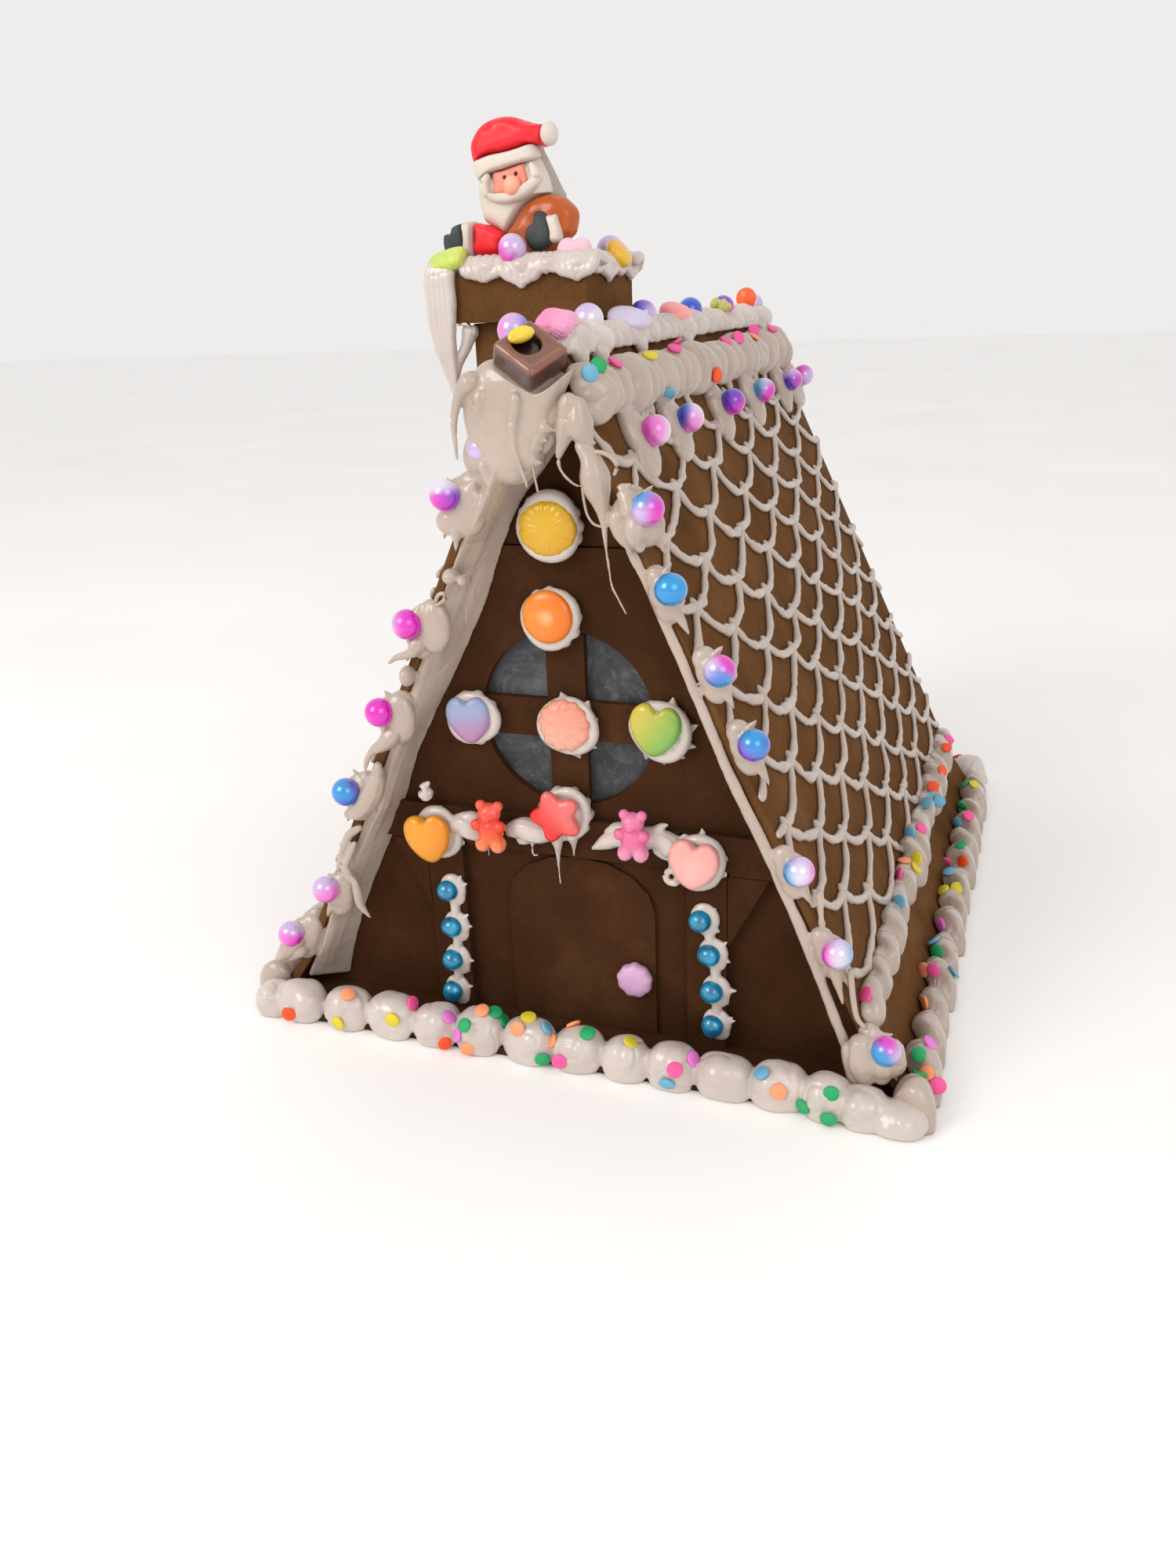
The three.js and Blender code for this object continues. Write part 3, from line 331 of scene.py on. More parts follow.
def one_skin(shapes, voxel, rounds=3):
    """The shapes' union as one closed skin, its seams softened."""
    mesh = to_mesh("work", merged(shapes))
    work = bpy.data.objects.new("work", mesh)
    bpy.context.scene.collection.objects.link(work)
    remesh = work.modifiers.new("remesh", "REMESH")
    remesh.mode = "VOXEL"
    remesh.voxel_size = voxel * MM
    soften = work.modifiers.new("soften", "SMOOTH")
    soften.factor = 0.5
    soften.iterations = rounds
    done = bpy.data.meshes.new_from_object(work.evaluated_get(bpy.context.evaluated_depsgraph_get()))
    shape = from_mesh(done)
    bpy.data.objects.remove(work)
    bpy.data.meshes.remove(mesh)
    bpy.data.meshes.remove(done)
    return shape


def normals_of(shape):
    mesh = to_mesh("work", shape)
    values = np.zeros(len(mesh.vertices) * 3, np.float32)
    mesh.vertex_normals.foreach_get("vector", values)
    bpy.data.meshes.remove(mesh)
    return values.reshape(-1, 3).astype(float)


def lumpy(shape, height, size, seed):
    """The shape with soft lumps all over it."""
    points, faces = shape
    return points + normals_of(shape) * (height * waves(points, size, seed))[:, None], faces


CREASE_WIDTH = 0.11


def iced(parts, voxel, rounds, seed, folds, fold_size, lumps, fine=0.02, stretch=(1, 1, 1)):
    """The parts as one skin of icing: soft lumps, and thin creases where strokes of icing meet."""
    shape = one_skin(parts, voxel, rounds)
    points, faces = shape
    field = waves(points / np.asarray(stretch, float), fold_size, seed)
    crease = np.exp(-(field / CREASE_WIDTH) ** 2) * (waves(points, 9, seed + 1) > -0.35)
    shift = lumps * waves(points, 4.5, seed + 2) - folds * crease + fine * waves(points, 1.3, seed + 3)
    return points + normals_of(shape) * shift[:, None], faces


def relaid(shape, place):
    """The shape with its points moved by a function."""
    points, faces = shape
    return place(points), faces


PIECES = {}


def piece(name, shape, material, replaces=(), colours=None):
    """Adds a visible piece on the body root. `colours` are its points' own."""
    mesh = to_mesh(name, shape)
    mesh.shade_smooth()
    if colours is not None:
        layer = mesh.color_attributes.new("paint", "FLOAT_COLOR", "POINT")
        rgba = np.concatenate([colours, np.ones((len(colours), 1))], 1)
        layer.data.foreach_set("color", rgba.astype(np.float32).ravel())
    mesh.materials.append(material)
    made = bpy.data.objects.new(name, mesh)
    bpy.context.scene.collection.objects.link(made)
    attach(made, "root")
    if replaces:
        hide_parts(*replaces)
    PIECES[name] = shape
    return made


def tree_of(names):
    """The joined surface of some pieces, for rays to meet."""
    points, faces = merged([PIECES[name] for name in names])
    polygons = [face for group in faces for face in group.tolist()]
    return BVHTree.FromPolygons(points.tolist(), polygons)


def first_hit(tree, start, way):
    """Where a line from `start` first meets the tree, and the surface's normal there."""
    place, normal, _, _ = tree.ray_cast(Vector(start), Vector(way))
    if place is None:
        return None
    normal = np.array(normal)
    if normal @ np.asarray(way) > 0:
        normal = -normal
    return np.array(place), normal


# ------------------------------------------------------------------ colours and materials
def rgb(red, green, blue):
    """A linear colour from screen values between 0 and 255."""
    values = np.array([red, green, blue], float) / 255
    return np.where(values > 0.04045, ((values + 0.055) / 1.055) ** 2.4, values / 12.92)


def rgba(colour):
    return (*[float(c) for c in colour], 1.0)


class Look:
    """A material with short calls to add nodes to it."""

    def __init__(self, name, **sockets):
        self.material = bpy.data.materials.new(name)
        self.material.use_nodes = True
        self.tree = self.material.node_tree
        self.shader = self.tree.nodes["Principled BSDF"]
        for key, value in sockets.items():
            self.shader.inputs[key.replace("_", " ")].default_value = value
        self.coords = self.tree.nodes.new("ShaderNodeTexCoord").outputs["Object"]

    def link(self, source, node, socket):
        self.tree.links.new(source, node.inputs[socket])

    def noise(self, scale, detail=4, roughness=0.55, distortion=0.0):
        node = self.tree.nodes.new("ShaderNodeTexNoise")
        node.inputs["Scale"].default_value = scale
        node.inputs["Detail"].default_value = detail
        node.inputs["Roughness"].default_value = roughness
        node.inputs["Distortion"].default_value = distortion
        self.link(self.coords, node, "Vector")
        return node.outputs["Fac"]

    def cells(self, scale):
        node = self.tree.nodes.new("ShaderNodeTexVoronoi")
        node.inputs["Scale"].default_value = scale
        self.link(self.coords, node, "Vector")
        return node.outputs["Distance"]

    def ramp(self, value, stops):
        node = self.tree.nodes.new("ShaderNodeValToRGB")
        elements = node.color_ramp.elements
        while len(elements) < len(stops):
            elements.new(0.5)
        for element, (place, colour) in zip(elements, stops):
            element.position = place
            element.color = rgba(colour)
        self.link(value, node, "Fac")
        return node.outputs["Color"]

    def ranged(self, value, low, high, source=(0.3, 0.7)):
        node = self.tree.nodes.new("ShaderNodeMapRange")
        node.inputs["From Min"].default_value, node.inputs["From Max"].default_value = source
        node.inputs["To Min"].default_value = low
        node.inputs["To Max"].default_value = high
        self.link(value, node, "Value")
        return node.outputs["Result"]

    def mix(self, kind, share, first, second):
        """Two colours blended by a share. Each of the three is a socket or a value."""
        node = self.tree.nodes.new("ShaderNodeMix")
        node.data_type = "RGBA"
        node.blend_type = kind
        for socket, value in ((node.inputs[0], share), (node.inputs[6], first), (node.inputs[7], second)):
            if isinstance(value, bpy.types.NodeSocket):
                self.tree.links.new(value, socket)
            else:
                socket.default_value = value if isinstance(value, float) else rgba(value)
        return node.outputs[2]

    def paint(self):
        """The piece's own colours."""
        node = self.tree.nodes.new("ShaderNodeAttribute")
        node.attribute_name = "paint"
        return node.outputs["Color"]

    def colour(self, source):
        self.link(source, self.shader, "Base Color")

    def clouded(self, base, share, cloud, shade, stops=(0.3, 0.7)):
        """Sets the colour to the base, multiplied in places by a share of the shade."""
        veil = self.ramp(cloud, [(stops[0], shade), (stops[1], rgb(255, 255, 255))])
        self.colour(self.mix("MULTIPLY", share, base, veil))

    def roughness(self, value, low, high):
        self.link(self.ranged(value, low, high), self.shader, "Roughness")

    def bump(self, layers):
        """Bumps from (value, height in mm) layers."""
        last = None
        for value, height in layers:
            node = self.tree.nodes.new("ShaderNodeBump")
            node.inputs["Distance"].default_value = height * MM
            node.inputs["Strength"].default_value = 1.0
            self.link(value, node, "Height")
            if last is not None:
                self.link(last, node, "Normal")
            last = node.outputs["Normal"]
        self.link(last, self.shader, "Normal")


def brown_sheet(name, dark, middle, light):
    look = Look(name, Specular_IOR_Level=0.04)
    broad = look.noise(26, 5, 0.6)
    grain = look.noise(900, 6, 0.7)
    wear = look.noise(150, 8, 0.75, 0.6)
    base = look.ramp(broad, [(0.3, dark), (0.55, middle), (0.75, light)])
    specks = look.ramp(grain, [(0.25, rgb(80, 80, 80)), (0.75, rgb(190, 190, 190))])
    mottled = look.mix("OVERLAY", 0.4, base, specks)
    scuffed = look.mix("MIX", look.ranged(wear, 0.0, 0.25, (0.6, 0.85)), mottled, light)
    look.colour(scuffed)
    look.roughness(grain, 0.75, 0.95)
    look.bump([(broad, 0.5), (wear, 0.18), (grain, 0.12)])
    return look.material


def icing_look(name, shade, light):
    look = Look(name, Subsurface_Weight=0.4, Subsurface_Radius=(0.005, 0.0032, 0.0022),
                Specular_IOR_Level=0.5, Coat_Weight=0.6, Coat_Roughness=0.09)
    broad = look.noise(45, 4)
    fine = look.noise(500, 5, 0.6)
    base = look.ramp(broad, [(0.3, shade), (0.7, light)])
    look.clouded(base, 0.2, fine, rgb(228, 222, 216), (0.2, 0.8))
    look.roughness(fine, 0.26, 0.42)
    look.bump([(look.noise(200, 4), 0.08), (look.noise(1100, 4), 0.015)])
    return look.material


def pearl_look():
    look = Look("pearl", Roughness=0.22, Coat_Weight=0.9, Coat_Roughness=0.07, Metallic=0.2,
                Specular_IOR_Level=0.6, Sheen_Weight=0.05)
    haze = look.noise(160, 3)
    look.clouded(look.paint(), 0.25, haze, rgb(220, 210, 228))
    look.roughness(haze, 0.18, 0.32)
    look.bump([(look.noise(900, 3), 0.01)])
    return look.material


def gummy_look(name, roughness=(0.14, 0.3), sugar=0.03, clear=0.15):
    """A soft sweet. `sugar` is the height of its grains in mm."""
    look = Look(name, Subsurface_Weight=0.45, Subsurface_Radius=(0.005, 0.003, 0.002),
                Transmission_Weight=clear, Coat_Weight=0.35, Coat_Roughness=0.1, IOR=1.4)
    grains = look.cells(1300)
    cloud = look.noise(240, 4)
    frosted = look.mix("SCREEN", look.ranged(cloud, 0.0, 0.05), look.paint(), rgb(250, 235, 225))
    look.colour(frosted)
    look.roughness(cloud, *roughness)
    look.bump([(cloud, 0.07), (grains, sugar)])
    return look.material


def clay_look(name, colour, shade, roughness=(0.4, 0.6)):
    look = Look(name, Subsurface_Weight=0.08, Subsurface_Radius=(0.003, 0.002, 0.001))
    cloud = look.noise(120, 4)
    look.colour(look.ramp(cloud, [(0.3, shade), (0.7, colour)]))
    look.roughness(look.noise(500, 4), *roughness)
    look.bump([(look.noise(260, 5), 0.12), (look.noise(1400, 3), 0.03)])
    return look.material


def glossy_look():
    """Painted pieces with a hard gloss: the chocolate and its bean."""
    look = Look("glossy", Subsurface_Weight=0.1, Subsurface_Radius=(0.003, 0.0015, 0.001),
                Coat_Weight=0.6, Coat_Roughness=0.1)
    cloud = look.noise(150, 4)
    look.clouded(look.paint(), 0.35, cloud, rgb(214, 206, 200))
    look.roughness(cloud, 0.2, 0.36)
    look.bump([(look.noise(320, 4), 0.08), (look.noise(1500, 3), 0.02)])
    return look.material


def confetti_look():
    look = Look("confetti", Subsurface_Weight=0.1, Subsurface_Radius=(0.002, 0.0015, 0.001))
    cloud = look.noise(300, 4)
    look.clouded(look.paint(), 0.2, cloud, rgb(225, 220, 215))
    look.roughness(cloud, 0.45, 0.7)
    look.bump([(look.noise(900, 4), 0.05)])
    return look.material


def pane_look():
    look = Look("pane", Specular_IOR_Level=0.4)
    cloud = look.noise(52, 7, 0.7, 1.2)
    fine = look.noise(420, 5, 0.7)
    wisps = look.noise(110, 8, 0.75, 1.6)
    base = look.ramp(cloud, [(0.35, rgb(42, 42, 44)), (0.52, rgb(66, 67, 70)), (0.68, rgb(104, 106, 110))])
    misted = look.mix("MIX", look.ranged(wisps, 0.0, 0.55, (0.56, 0.8)), base, rgb(150, 152, 158))
    specks = look.ramp(fine, [(0.3, rgb(90, 90, 90)), (0.7, rgb(165, 165, 165))])
    look.colour(look.mix("OVERLAY", 0.3, misted, specks))
    look.roughness(cloud, 0.4, 0.7)
    look.bump([(fine, 0.08)])
    return look.material


def floor_look():
    look = Look("floor", Roughness=0.8)
    look.colour(look.ramp(look.noise(4, 3), [(0.3, rgb(248, 247, 246)), (0.7, rgb(253, 252, 251))]))
    return look.material


WALL = brown_sheet("wall_brown_look", rgb(62, 38, 22), rgb(74, 46, 28), rgb(90, 60, 38))
ROOF = brown_sheet("roof_brown_look", rgb(94, 62, 34), rgb(114, 78, 46), rgb(132, 96, 62))
PANE = pane_look()
ICING = icing_look("icing", rgb(198, 186, 178), rgb(212, 202, 196))
# The same icing painted darker: painted shade for the icing on the roof slopes, the side and eave rows and
# the verges.
SHADED_ICING = icing_look("shaded_icing", rgb(176, 160, 146), rgb(190, 174, 162))
PEARL = pearl_look()
CONFETTI = confetti_look()
GUMMY = gummy_look("gummy")
SUGARED = gummy_look("sugared_gummy", (0.5, 0.75), 0.35, 0.05)
SATIN = gummy_look("satin_gummy", (0.3, 0.45), 0.05, 0.0)
GLOSSY = glossy_look()
CLAY_RED = clay_look("clay_red", rgb(246, 24, 42), rgb(226, 16, 34), (0.3, 0.5))
CLAY_CREAM = clay_look("clay_cream", rgb(218, 208, 196), rgb(206, 196, 184))
# Cream clay painted grey: painted shade for the figure's side behind the beard and hair.
CLAY_SHADED_CREAM = clay_look("clay_shaded_cream", rgb(172, 161, 150), rgb(158, 147, 137))
CLAY_GREY = clay_look("clay_grey", rgb(62, 68, 70), rgb(44, 50, 52), (0.45, 0.7))
CLAY_SKIN = clay_look("clay_skin", rgb(236, 150, 128), rgb(230, 138, 118))
CLAY_PEACH = clay_look("clay_peach", rgb(250, 176, 150), rgb(244, 160, 136), (0.3, 0.45))
CLAY_SACK = clay_look("clay_sack", rgb(192, 90, 20), rgb(170, 74, 14), (0.16, 0.28))
CLAY_BLACK = clay_look("clay_black", rgb(44, 14, 20), rgb(26, 8, 12), (0.3, 0.4))


def dress(nodes, material):
    """Gives CAD nodes that stay visible their material."""
    for node in nodes:
        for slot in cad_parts[node].material_slots:
            slot.material = material


dress(["base_board", "front_wall", "gable_panel", "back_wall", "window_cross", "lintel", "post_left",
       "post_right", "brace_left", "brace_right", "door"], WALL)
dress(["skirt_left", "skirt_right", "ridge_cap", "chimney_shaft", "chimney_collar"], ROOF)
dress(["window_pane"], PANE)


# ------------------------------------------------------------------ roof panels and their lattice
def rounded_box(low, high, soft, steps=3):
    """A box whose edges are rounded by `soft`."""
    low, high = np.asarray(low, float), np.asarray(high, float)
    bm = bmesh.new()
    bmesh.ops.create_cube(bm, size=1)
    for v in bm.verts:
        v.co = Vector((low + high) / 2 + np.array(v.co) * (high - low))
    bmesh.ops.bevel(bm, geom=bm.edges[:], offset=soft, segments=steps, profile=0.5, affect="EDGES")
    bmesh.ops.triangulate(bm, faces=bm.faces[:])
    points, faces = taken_from(bm)
    return points, [faces]


def beside_chimney(side, u, reach=35.0):
    return (side < 0) & (np.abs(u - ROOF_HALF - CHIMNEY[1]) < reach)


LATTICE_TOP, LATTICE_ROW, LATTICE_CELL = 13.2, 12.4, 52.0
LATTICE_ROWS, LATTICE_LOOPS = 16, range(-1, 8)
LATTICE_WIDTH, LATTICE_FLAT = 1.8, 0.68


def lattice(side):
    """Rows of hanging loops of icing: each starts from the lowest points of the two above it."""
    rng = np.random.default_rng(31 + side)
    knots = {}

    def knot(line, k):
        v = LATTICE_TOP + line * LATTICE_ROW
        u = 24.5 * (line % 2) - 2 + LATTICE_CELL * k - 0.11 * (v - 38)
        if (line, k) not in knots:
            knots[line, k] = np.array([v + rng.normal(0, 0.8), u + rng.normal(0, 1.6)])
        return knots[line, k]

    parts = []
    for line in range(LATTICE_ROWS):
        for k in LATTICE_LOOPS:
            start, end = knot(line, k), knot(line, k + 1)
            low = knot(line + 1, k if line % 2 == 0 else k + 1)
            dip, bend = low - (start + end) / 2
            t = np.linspace(0, 1, 34)
            v = start[0] + (end[0] - start[0]) * t + dip * (1 - np.abs(2 * t - 1) ** 2.6)
            u = start[1] + (end[1] - start[1]) * t + bend * 4 * t * (1 - t)
            v += 0.5 * np.sin(t * rng.uniform(8, 14) + rng.uniform(0, 6))
            keep = (u > 1.0) & (u < ROOF_LENGTH - 1.0) & (v < SLOPE_LENGTH - 12)
            keep &= ~(beside_chimney(side, u, 22) & (v < 37))
            kept = np.where(keep)[0]
            if len(kept) < 5:
                continue
            for run in np.split(kept, np.where(np.diff(kept) > 1)[0] + 1):
                if len(run) < 4:
                    continue
                path = np.stack([v[run], u[run], np.full(len(run), 0.75)], -1)
                width = (LATTICE_WIDTH + 0.36 * waves(path * 3, 9, line * 41 + k)
                         + 0.16 * waves(path, 2.5, k + 7))
                parts.append(tube(path, np.maximum(width, 1.2), 8, (0, 0, 1), LATTICE_FLAT))
        for k in LATTICE_LOOPS:
            v, u = knot(line, k)
            on_sheet = line > 0 and 3 < u < ROOF_LENGTH - 3
            if on_sheet and not (v < 40 and beside_chimney(side, u, 24)):
                parts.append(ellipsoid((v, u, 0.6), (2.7 + rng.uniform(0, 1.2), 2.3, 1.5), level=2))
    points, faces = merged(parts)
    points[:, 2] = np.maximum(points[:, 2], 0.02)
    return on_slope(side, points), faces


for name, side in SIDES:
    points, faces = rounded_box((0, 0, -SHEET), (SLOPE_LENGTH, ROOF_LENGTH, 0), 0.35)
    piece(f"roof_panel_{name}", (on_slope(side, points), faces), ROOF, [f"roof_{name}"])
    piece(f"roof_lattice_{name}", lattice(side), SHADED_ICING)


# ------------------------------------------------------------------ piped rows
# Profiles of one blob of a row: its size at a share p of its length.
def bulge(p, low=0.6):
    return low + (1 - low) * np.sqrt(np.clip(1 - (2 * p - 1) ** 2, 0, 1))


def shell(p, low):
    """A slow rise and a steep end."""
    rise = low + (1 - low) * np.sin(np.pi / 2 * np.clip(p / 0.82, 0, 1))
    return rise - (1 - low) * 0.95 * smoothstep(0.9, 1.0, p)


def tongue(p, low=0.6):
    """Fat towards its front end, so each tongue laps over the one behind it."""
    return bulge(np.clip(p, 0, 1) ** 1.35, low)


def piped_row(cuts, half_width, height, profile, seed, base=0.0, lean=0.0, centre=0.0, lip=0.0,
              folds=2.0, fold_depth=0.4, spread=0.12, step=0.8, around=36, under=0.3, bow=0.0):
    """A row along local Y with a blob between each two cuts, as a skin in local (x, y, z).

    `lean` and `bow` slant and curve the cuts across the row, `lip` pushes each blob's end over the
    next one, and `under` is how far the skin goes round below its widest line.
    """
    rng = np.random.default_rng(seed)
    size = 1 + spread * rng.uniform(-1, 1, len(cuts) - 1)
    y = np.arange(cuts[0], cuts[-1], step)
    angle = np.linspace(-under, np.pi + under, around)
    Y, A = np.meshgrid(y, angle, indexing="ij")
    flat = 0 * A.ravel()
    wobble = 0.8 * waves(np.stack([A.ravel() * 6, Y.ravel(), flat], -1), 7, seed).reshape(A.shape)
    T = np.clip(Y + lean * (A / np.pi - 0.5) - bow * np.sin(A) + wobble, cuts[0], cuts[-1] - 1e-6)
    k = np.clip(np.searchsorted(cuts, T, side="right") - 1, 0, len(cuts) - 2)
    p = (T - cuts[k]) / (cuts[k + 1] - cuts[k])
    e = profile(p) * size[k]
    ends = np.minimum(Y - cuts[0], cuts[-1] - step - Y)
    e = e * np.sqrt(np.clip(1 - (1 - np.clip((ends + 0.3) / 5, 0, 1)) ** 2, 0.02, 1))
    turn = rng.uniform(0, 6, len(cuts) - 1)
    fold = np.abs(np.sin(np.pi * (folds * p + 0.5 * A + turn[k])))
    e = e - fold_depth / half_width * (1 - fold) ** 4
    local = np.stack([A.ravel() * half_width, Y.ravel(), flat], -1)
    e = e + 0.035 * waves(local, 5, seed + 5).reshape(A.shape)
    x = centre + half_width * e * np.cos(A)
    z = base + height * e * (np.sin(A) + math.sin(under)) / (1 + math.sin(under))
    out = Y - lip * smoothstep(0.55, 0.9, p) * (1 - smoothstep(0.93, 1.0, p)) * np.sin(np.clip(A, 0, np.pi))
    return loft(np.stack([x, out, z], -1))


def even_cuts(start, end, count, seed, uneven=0.14):
    """Places of the cuts between `count` blobs of nearly the same length."""
    rng = np.random.default_rng(seed)
    cuts = np.linspace(start, end, count + 1)
    cuts[1:-1] += (end - start) / count * uneven * rng.uniform(-1, 1, count - 1)
    return cuts


# The skirt sheets under the eaves lean: how far out their feet are, and how fast they go in.
SKIRT_FOOT, SKIRT_LEAN = 120.7, 12.8 / 18.9
GAP = 0.3


def seated(points):
    """Keeps a base row on the board's top, or on the floor beyond it, and out of the skirt sheets."""
    points = points.copy()
    x, y = np.abs(points[:, 0]), np.abs(points[:, 1])
    on_board = (x < BOARD_X + GAP) & (y < BOARD_Y + GAP)
    points[:, 2] = np.maximum(points[:, 2], np.where(on_board, SHEET + GAP, GAP))
    z = points[:, 2]
    foot = SKIRT_FOOT - (z - SHEET - GAP) * SKIRT_LEAN
    inner = (y < ROOF_HALF) & (x > 100) & (z < 24) & (x < foot + 0.1)
    points[inner, 0] = np.sign(points[inner, 0]) * (foot[inner] + 0.1)
    return points


# Middle, half width and height of each blob of the front row, along x.
FRONT_BLOBS = [(-117.0, 7.6, 12.0), (-105.0, 10.8, 14.5), (-84.5, 9.6, 15.0), (-65.6, 10.2, 16.0),
               (-47.4, 9.4, 14.6), (-30.6, 9.4, 15.6), (-10.8, 10.2, 15.4), (8.0, 9.6, 15.2),
               (25.4, 9.0, 14.4), (42.0, 9.2, 15.2), (60.4, 10.6, 14.2), (79.0, 10.2, 15.0),
               (94.8, 8.6, 14.8), (107.0, 9.0, 12.5), (118.0, 9.6, 10.0)]
FRONT_ROOM = [-124.5, -164.2, -5], [129.5, -145.5, 17.5]


def front_row():
    """Fat glossy dollops, each with a soft fold or two, side by side."""
    rng = np.random.default_rng(5)

    def tipped(most):
        return turned((0, 1, 0), rng.uniform(-most, most))

    parts = []
    for x, width, height in FRONT_BLOBS:
        y = -152.4 - 3.0 * smoothstep(70, 120, x)
        turn = turned((0, 0, 1), rng.uniform(-0.15, 0.15)) @ tipped(0.12)
        parts.append(plump((x, y, height * 0.4), (width, 7.6, height * 0.6), turn))
        a = rng.uniform(0.5, 2.6)
        fold_at = (x - 0.42 * width * math.cos(a), y - 1.5, height * (0.42 + 0.2 * math.sin(a)))
        parts.append(ellipsoid(fold_at, (width * 0.62, 6.9, height * 0.42), tipped(0.6)))
        fold_at = (x + rng.uniform(-0.4, 0.4) * width, y - 2.8, height * rng.uniform(0.3, 0.62))
        parts.append(ellipsoid(fold_at, (width * 0.4, 5.2, height * 0.2), tipped(0.5)))
    points, faces = iced(parts, 0.6, 3, seed=3, folds=0.4, fold_size=11, lumps=0.22, stretch=(1, 1, 0.7))
    return seated(np.clip(points, *FRONT_ROOM)), faces


piece("base_row_front", front_row(), ICING, ["base_icing_front"])


def back_row():
    row = piped_row(even_cuts(-128.5, 128.5, 15, 8), 6.8, 13.2, bulge, 9, base=0.3, lean=3.0, lip=0.6,
                    folds=2.5)
    return relaid(row, lambda p: seated(np.stack([p[:, 1], 154.5 + p[:, 0], p[:, 2]], -1)))


piece("base_row_back", back_row(), ICING, ["base_icing_back"])


def side_row(side):
    """The row beside the skirt. The right one reaches past the board's front corner."""
    start = -157 if side > 0 else -148
    row = piped_row(even_cuts(start, 147, 15, 12 + side, 0.08), 7.2, 14.6, lambda p: shell(1 - p, 0.62),
                    14 + side, base=0.3, lean=-10.0, lip=2.4, folds=1.5, fold_depth=0.5)
    return relaid(row, lambda p: seated(np.stack([side * (122.4 + p[:, 0]), p[:, 1], p[:, 2]], -1)))


def eave_row(side):
    points, faces = piped_row(
        even_cuts(1.0, ROOF_LENGTH - 1.0, 15, 22 + side), 7.6, 7.6, lambda p: shell(1 - p, 0.66), 24 + side,
        base=0.15, lean=-9.0, lip=1.6, folds=1.5, fold_depth=0.45, spread=0.2)
    points = points + [SLOPE_LENGTH - 7.4, 0, 0]
    points[:, 0] = np.minimum(points[:, 0], SLOPE_LENGTH + 0.6)
    return on_slope(side, points), faces


for name, side in SIDES:
    piece(f"base_row_{name}", side_row(side), SHADED_ICING, [f"base_icing_{name}"])
for name, side in SIDES:
    piece(f"eave_row_{name}", eave_row(side), SHADED_ICING, [f"eave_icing_{name}"])

ROPE_PEARLS = [34, 74, 135, 190, 251, 279]


def clear_of_chimney(points):
    """Pushes points out of the chimney's shaft and collar."""
    points = points.copy()
    half = np.where(points[:, 2] > 243.5, HALF_COLLAR + 0.5, 20.5)
    away = points[:, :2] - CHIMNEY
    inside = (np.abs(away) < half[:, None]).all(1) & (points[:, 2] < 260.5)
    ratio = half[inside, None] / np.abs(away[inside])
    axis = np.argmin(ratio, 1)
    rows = np.where(inside)[0]
    points[rows, axis] = np.array(CHIMNEY)[axis] + np.sign(away[rows, axis]) * half[rows]
    return points


def uneven_cuts(start, end, low, high, seed):
    """Places of cuts that are between low and high apart."""
    rng = np.random.default_rng(seed)
    cuts = [start]
    while cuts[-1] < end - high:
        cuts.append(cuts[-1] + rng.uniform(low, high))
    return np.array([*cuts, end])


def rope(side):
    """Fat overlapping tongues of icing over the break of the roof, with a long dab under each pearl."""
    rng = np.random.default_rng(40 + side)
    cuts = uneven_cuts(2.0, ROOF_LENGTH - 1.5, 8.0, 12.5, 41 + side)
    parts = [piped_row(cuts, 9.2, 9.6, tongue, 42 + side, lean=1.5, centre=2.6, lip=1.2, folds=1.0,
                       fold_depth=0.3, spread=0.14, step=0.7, around=40, bow=3.5)]
    for u in ROPE_PEARLS:
        if beside_chimney(side, u):
            continue
        size = rng.uniform(0.9, 1.05)
        turn = turned((0, 0, 1), rng.uniform(0.0, 0.2))
        parts.append(ellipsoid((20.0, u, 1.4), (13.0 * size, 7.0 * size, 4.8), turn))
        parts.append(ellipsoid((26.5, u + rng.uniform(-1.5, 1), 1.2), (7.0, 6.4 * size, 3.4)))
        for shift in (-3.4, 0.5, 3.6):
            parts.append(string([(8, u + shift, 2.5, 1.7), (14, u + shift * 0.8, 2.6, 1.2),
                                 (19, u + shift * 0.6, 3.2, 2.0)]))
    for u in rng.uniform(12, ROOF_LENGTH - 12, 9):
        reach = rng.uniform(14, 21)
        parts.append(string([(7, u, 2.2, 2.2), (reach - 4, u + 0.6, 1.2, 1.4), (reach, u + 0.8, 0.8, 0.9)]))
    points, faces = iced(parts, 0.6, 1, seed=44 + side, folds=0.26, fold_size=9, lumps=0.15)
    points[:, 2] = np.maximum(points[:, 2], 0.1)
    points[:, 1] = np.clip(points[:, 1], 0.2, ROOF_LENGTH - 0.2)
    points = on_slope(side, points)
    return (clear_of_chimney(points) if side < 0 else points), faces


for name, side in SIDES:
    piece(f"rope_{name}", rope(side), SHADED_ICING, [f"rope_icing_{name}"])

# Place along the ridge and size of the icing under each sweet.
RIDGE_MOUNDS = ((-121, 1.1), (-104, 1.25), (-61, 1.0), (-5, 1.2), (124, 1.25), (134, 1.15))
# The ridge cap's top, and its fall for each mm out.
CAP_TOP, CAP_FALL = 242.3, 1.5


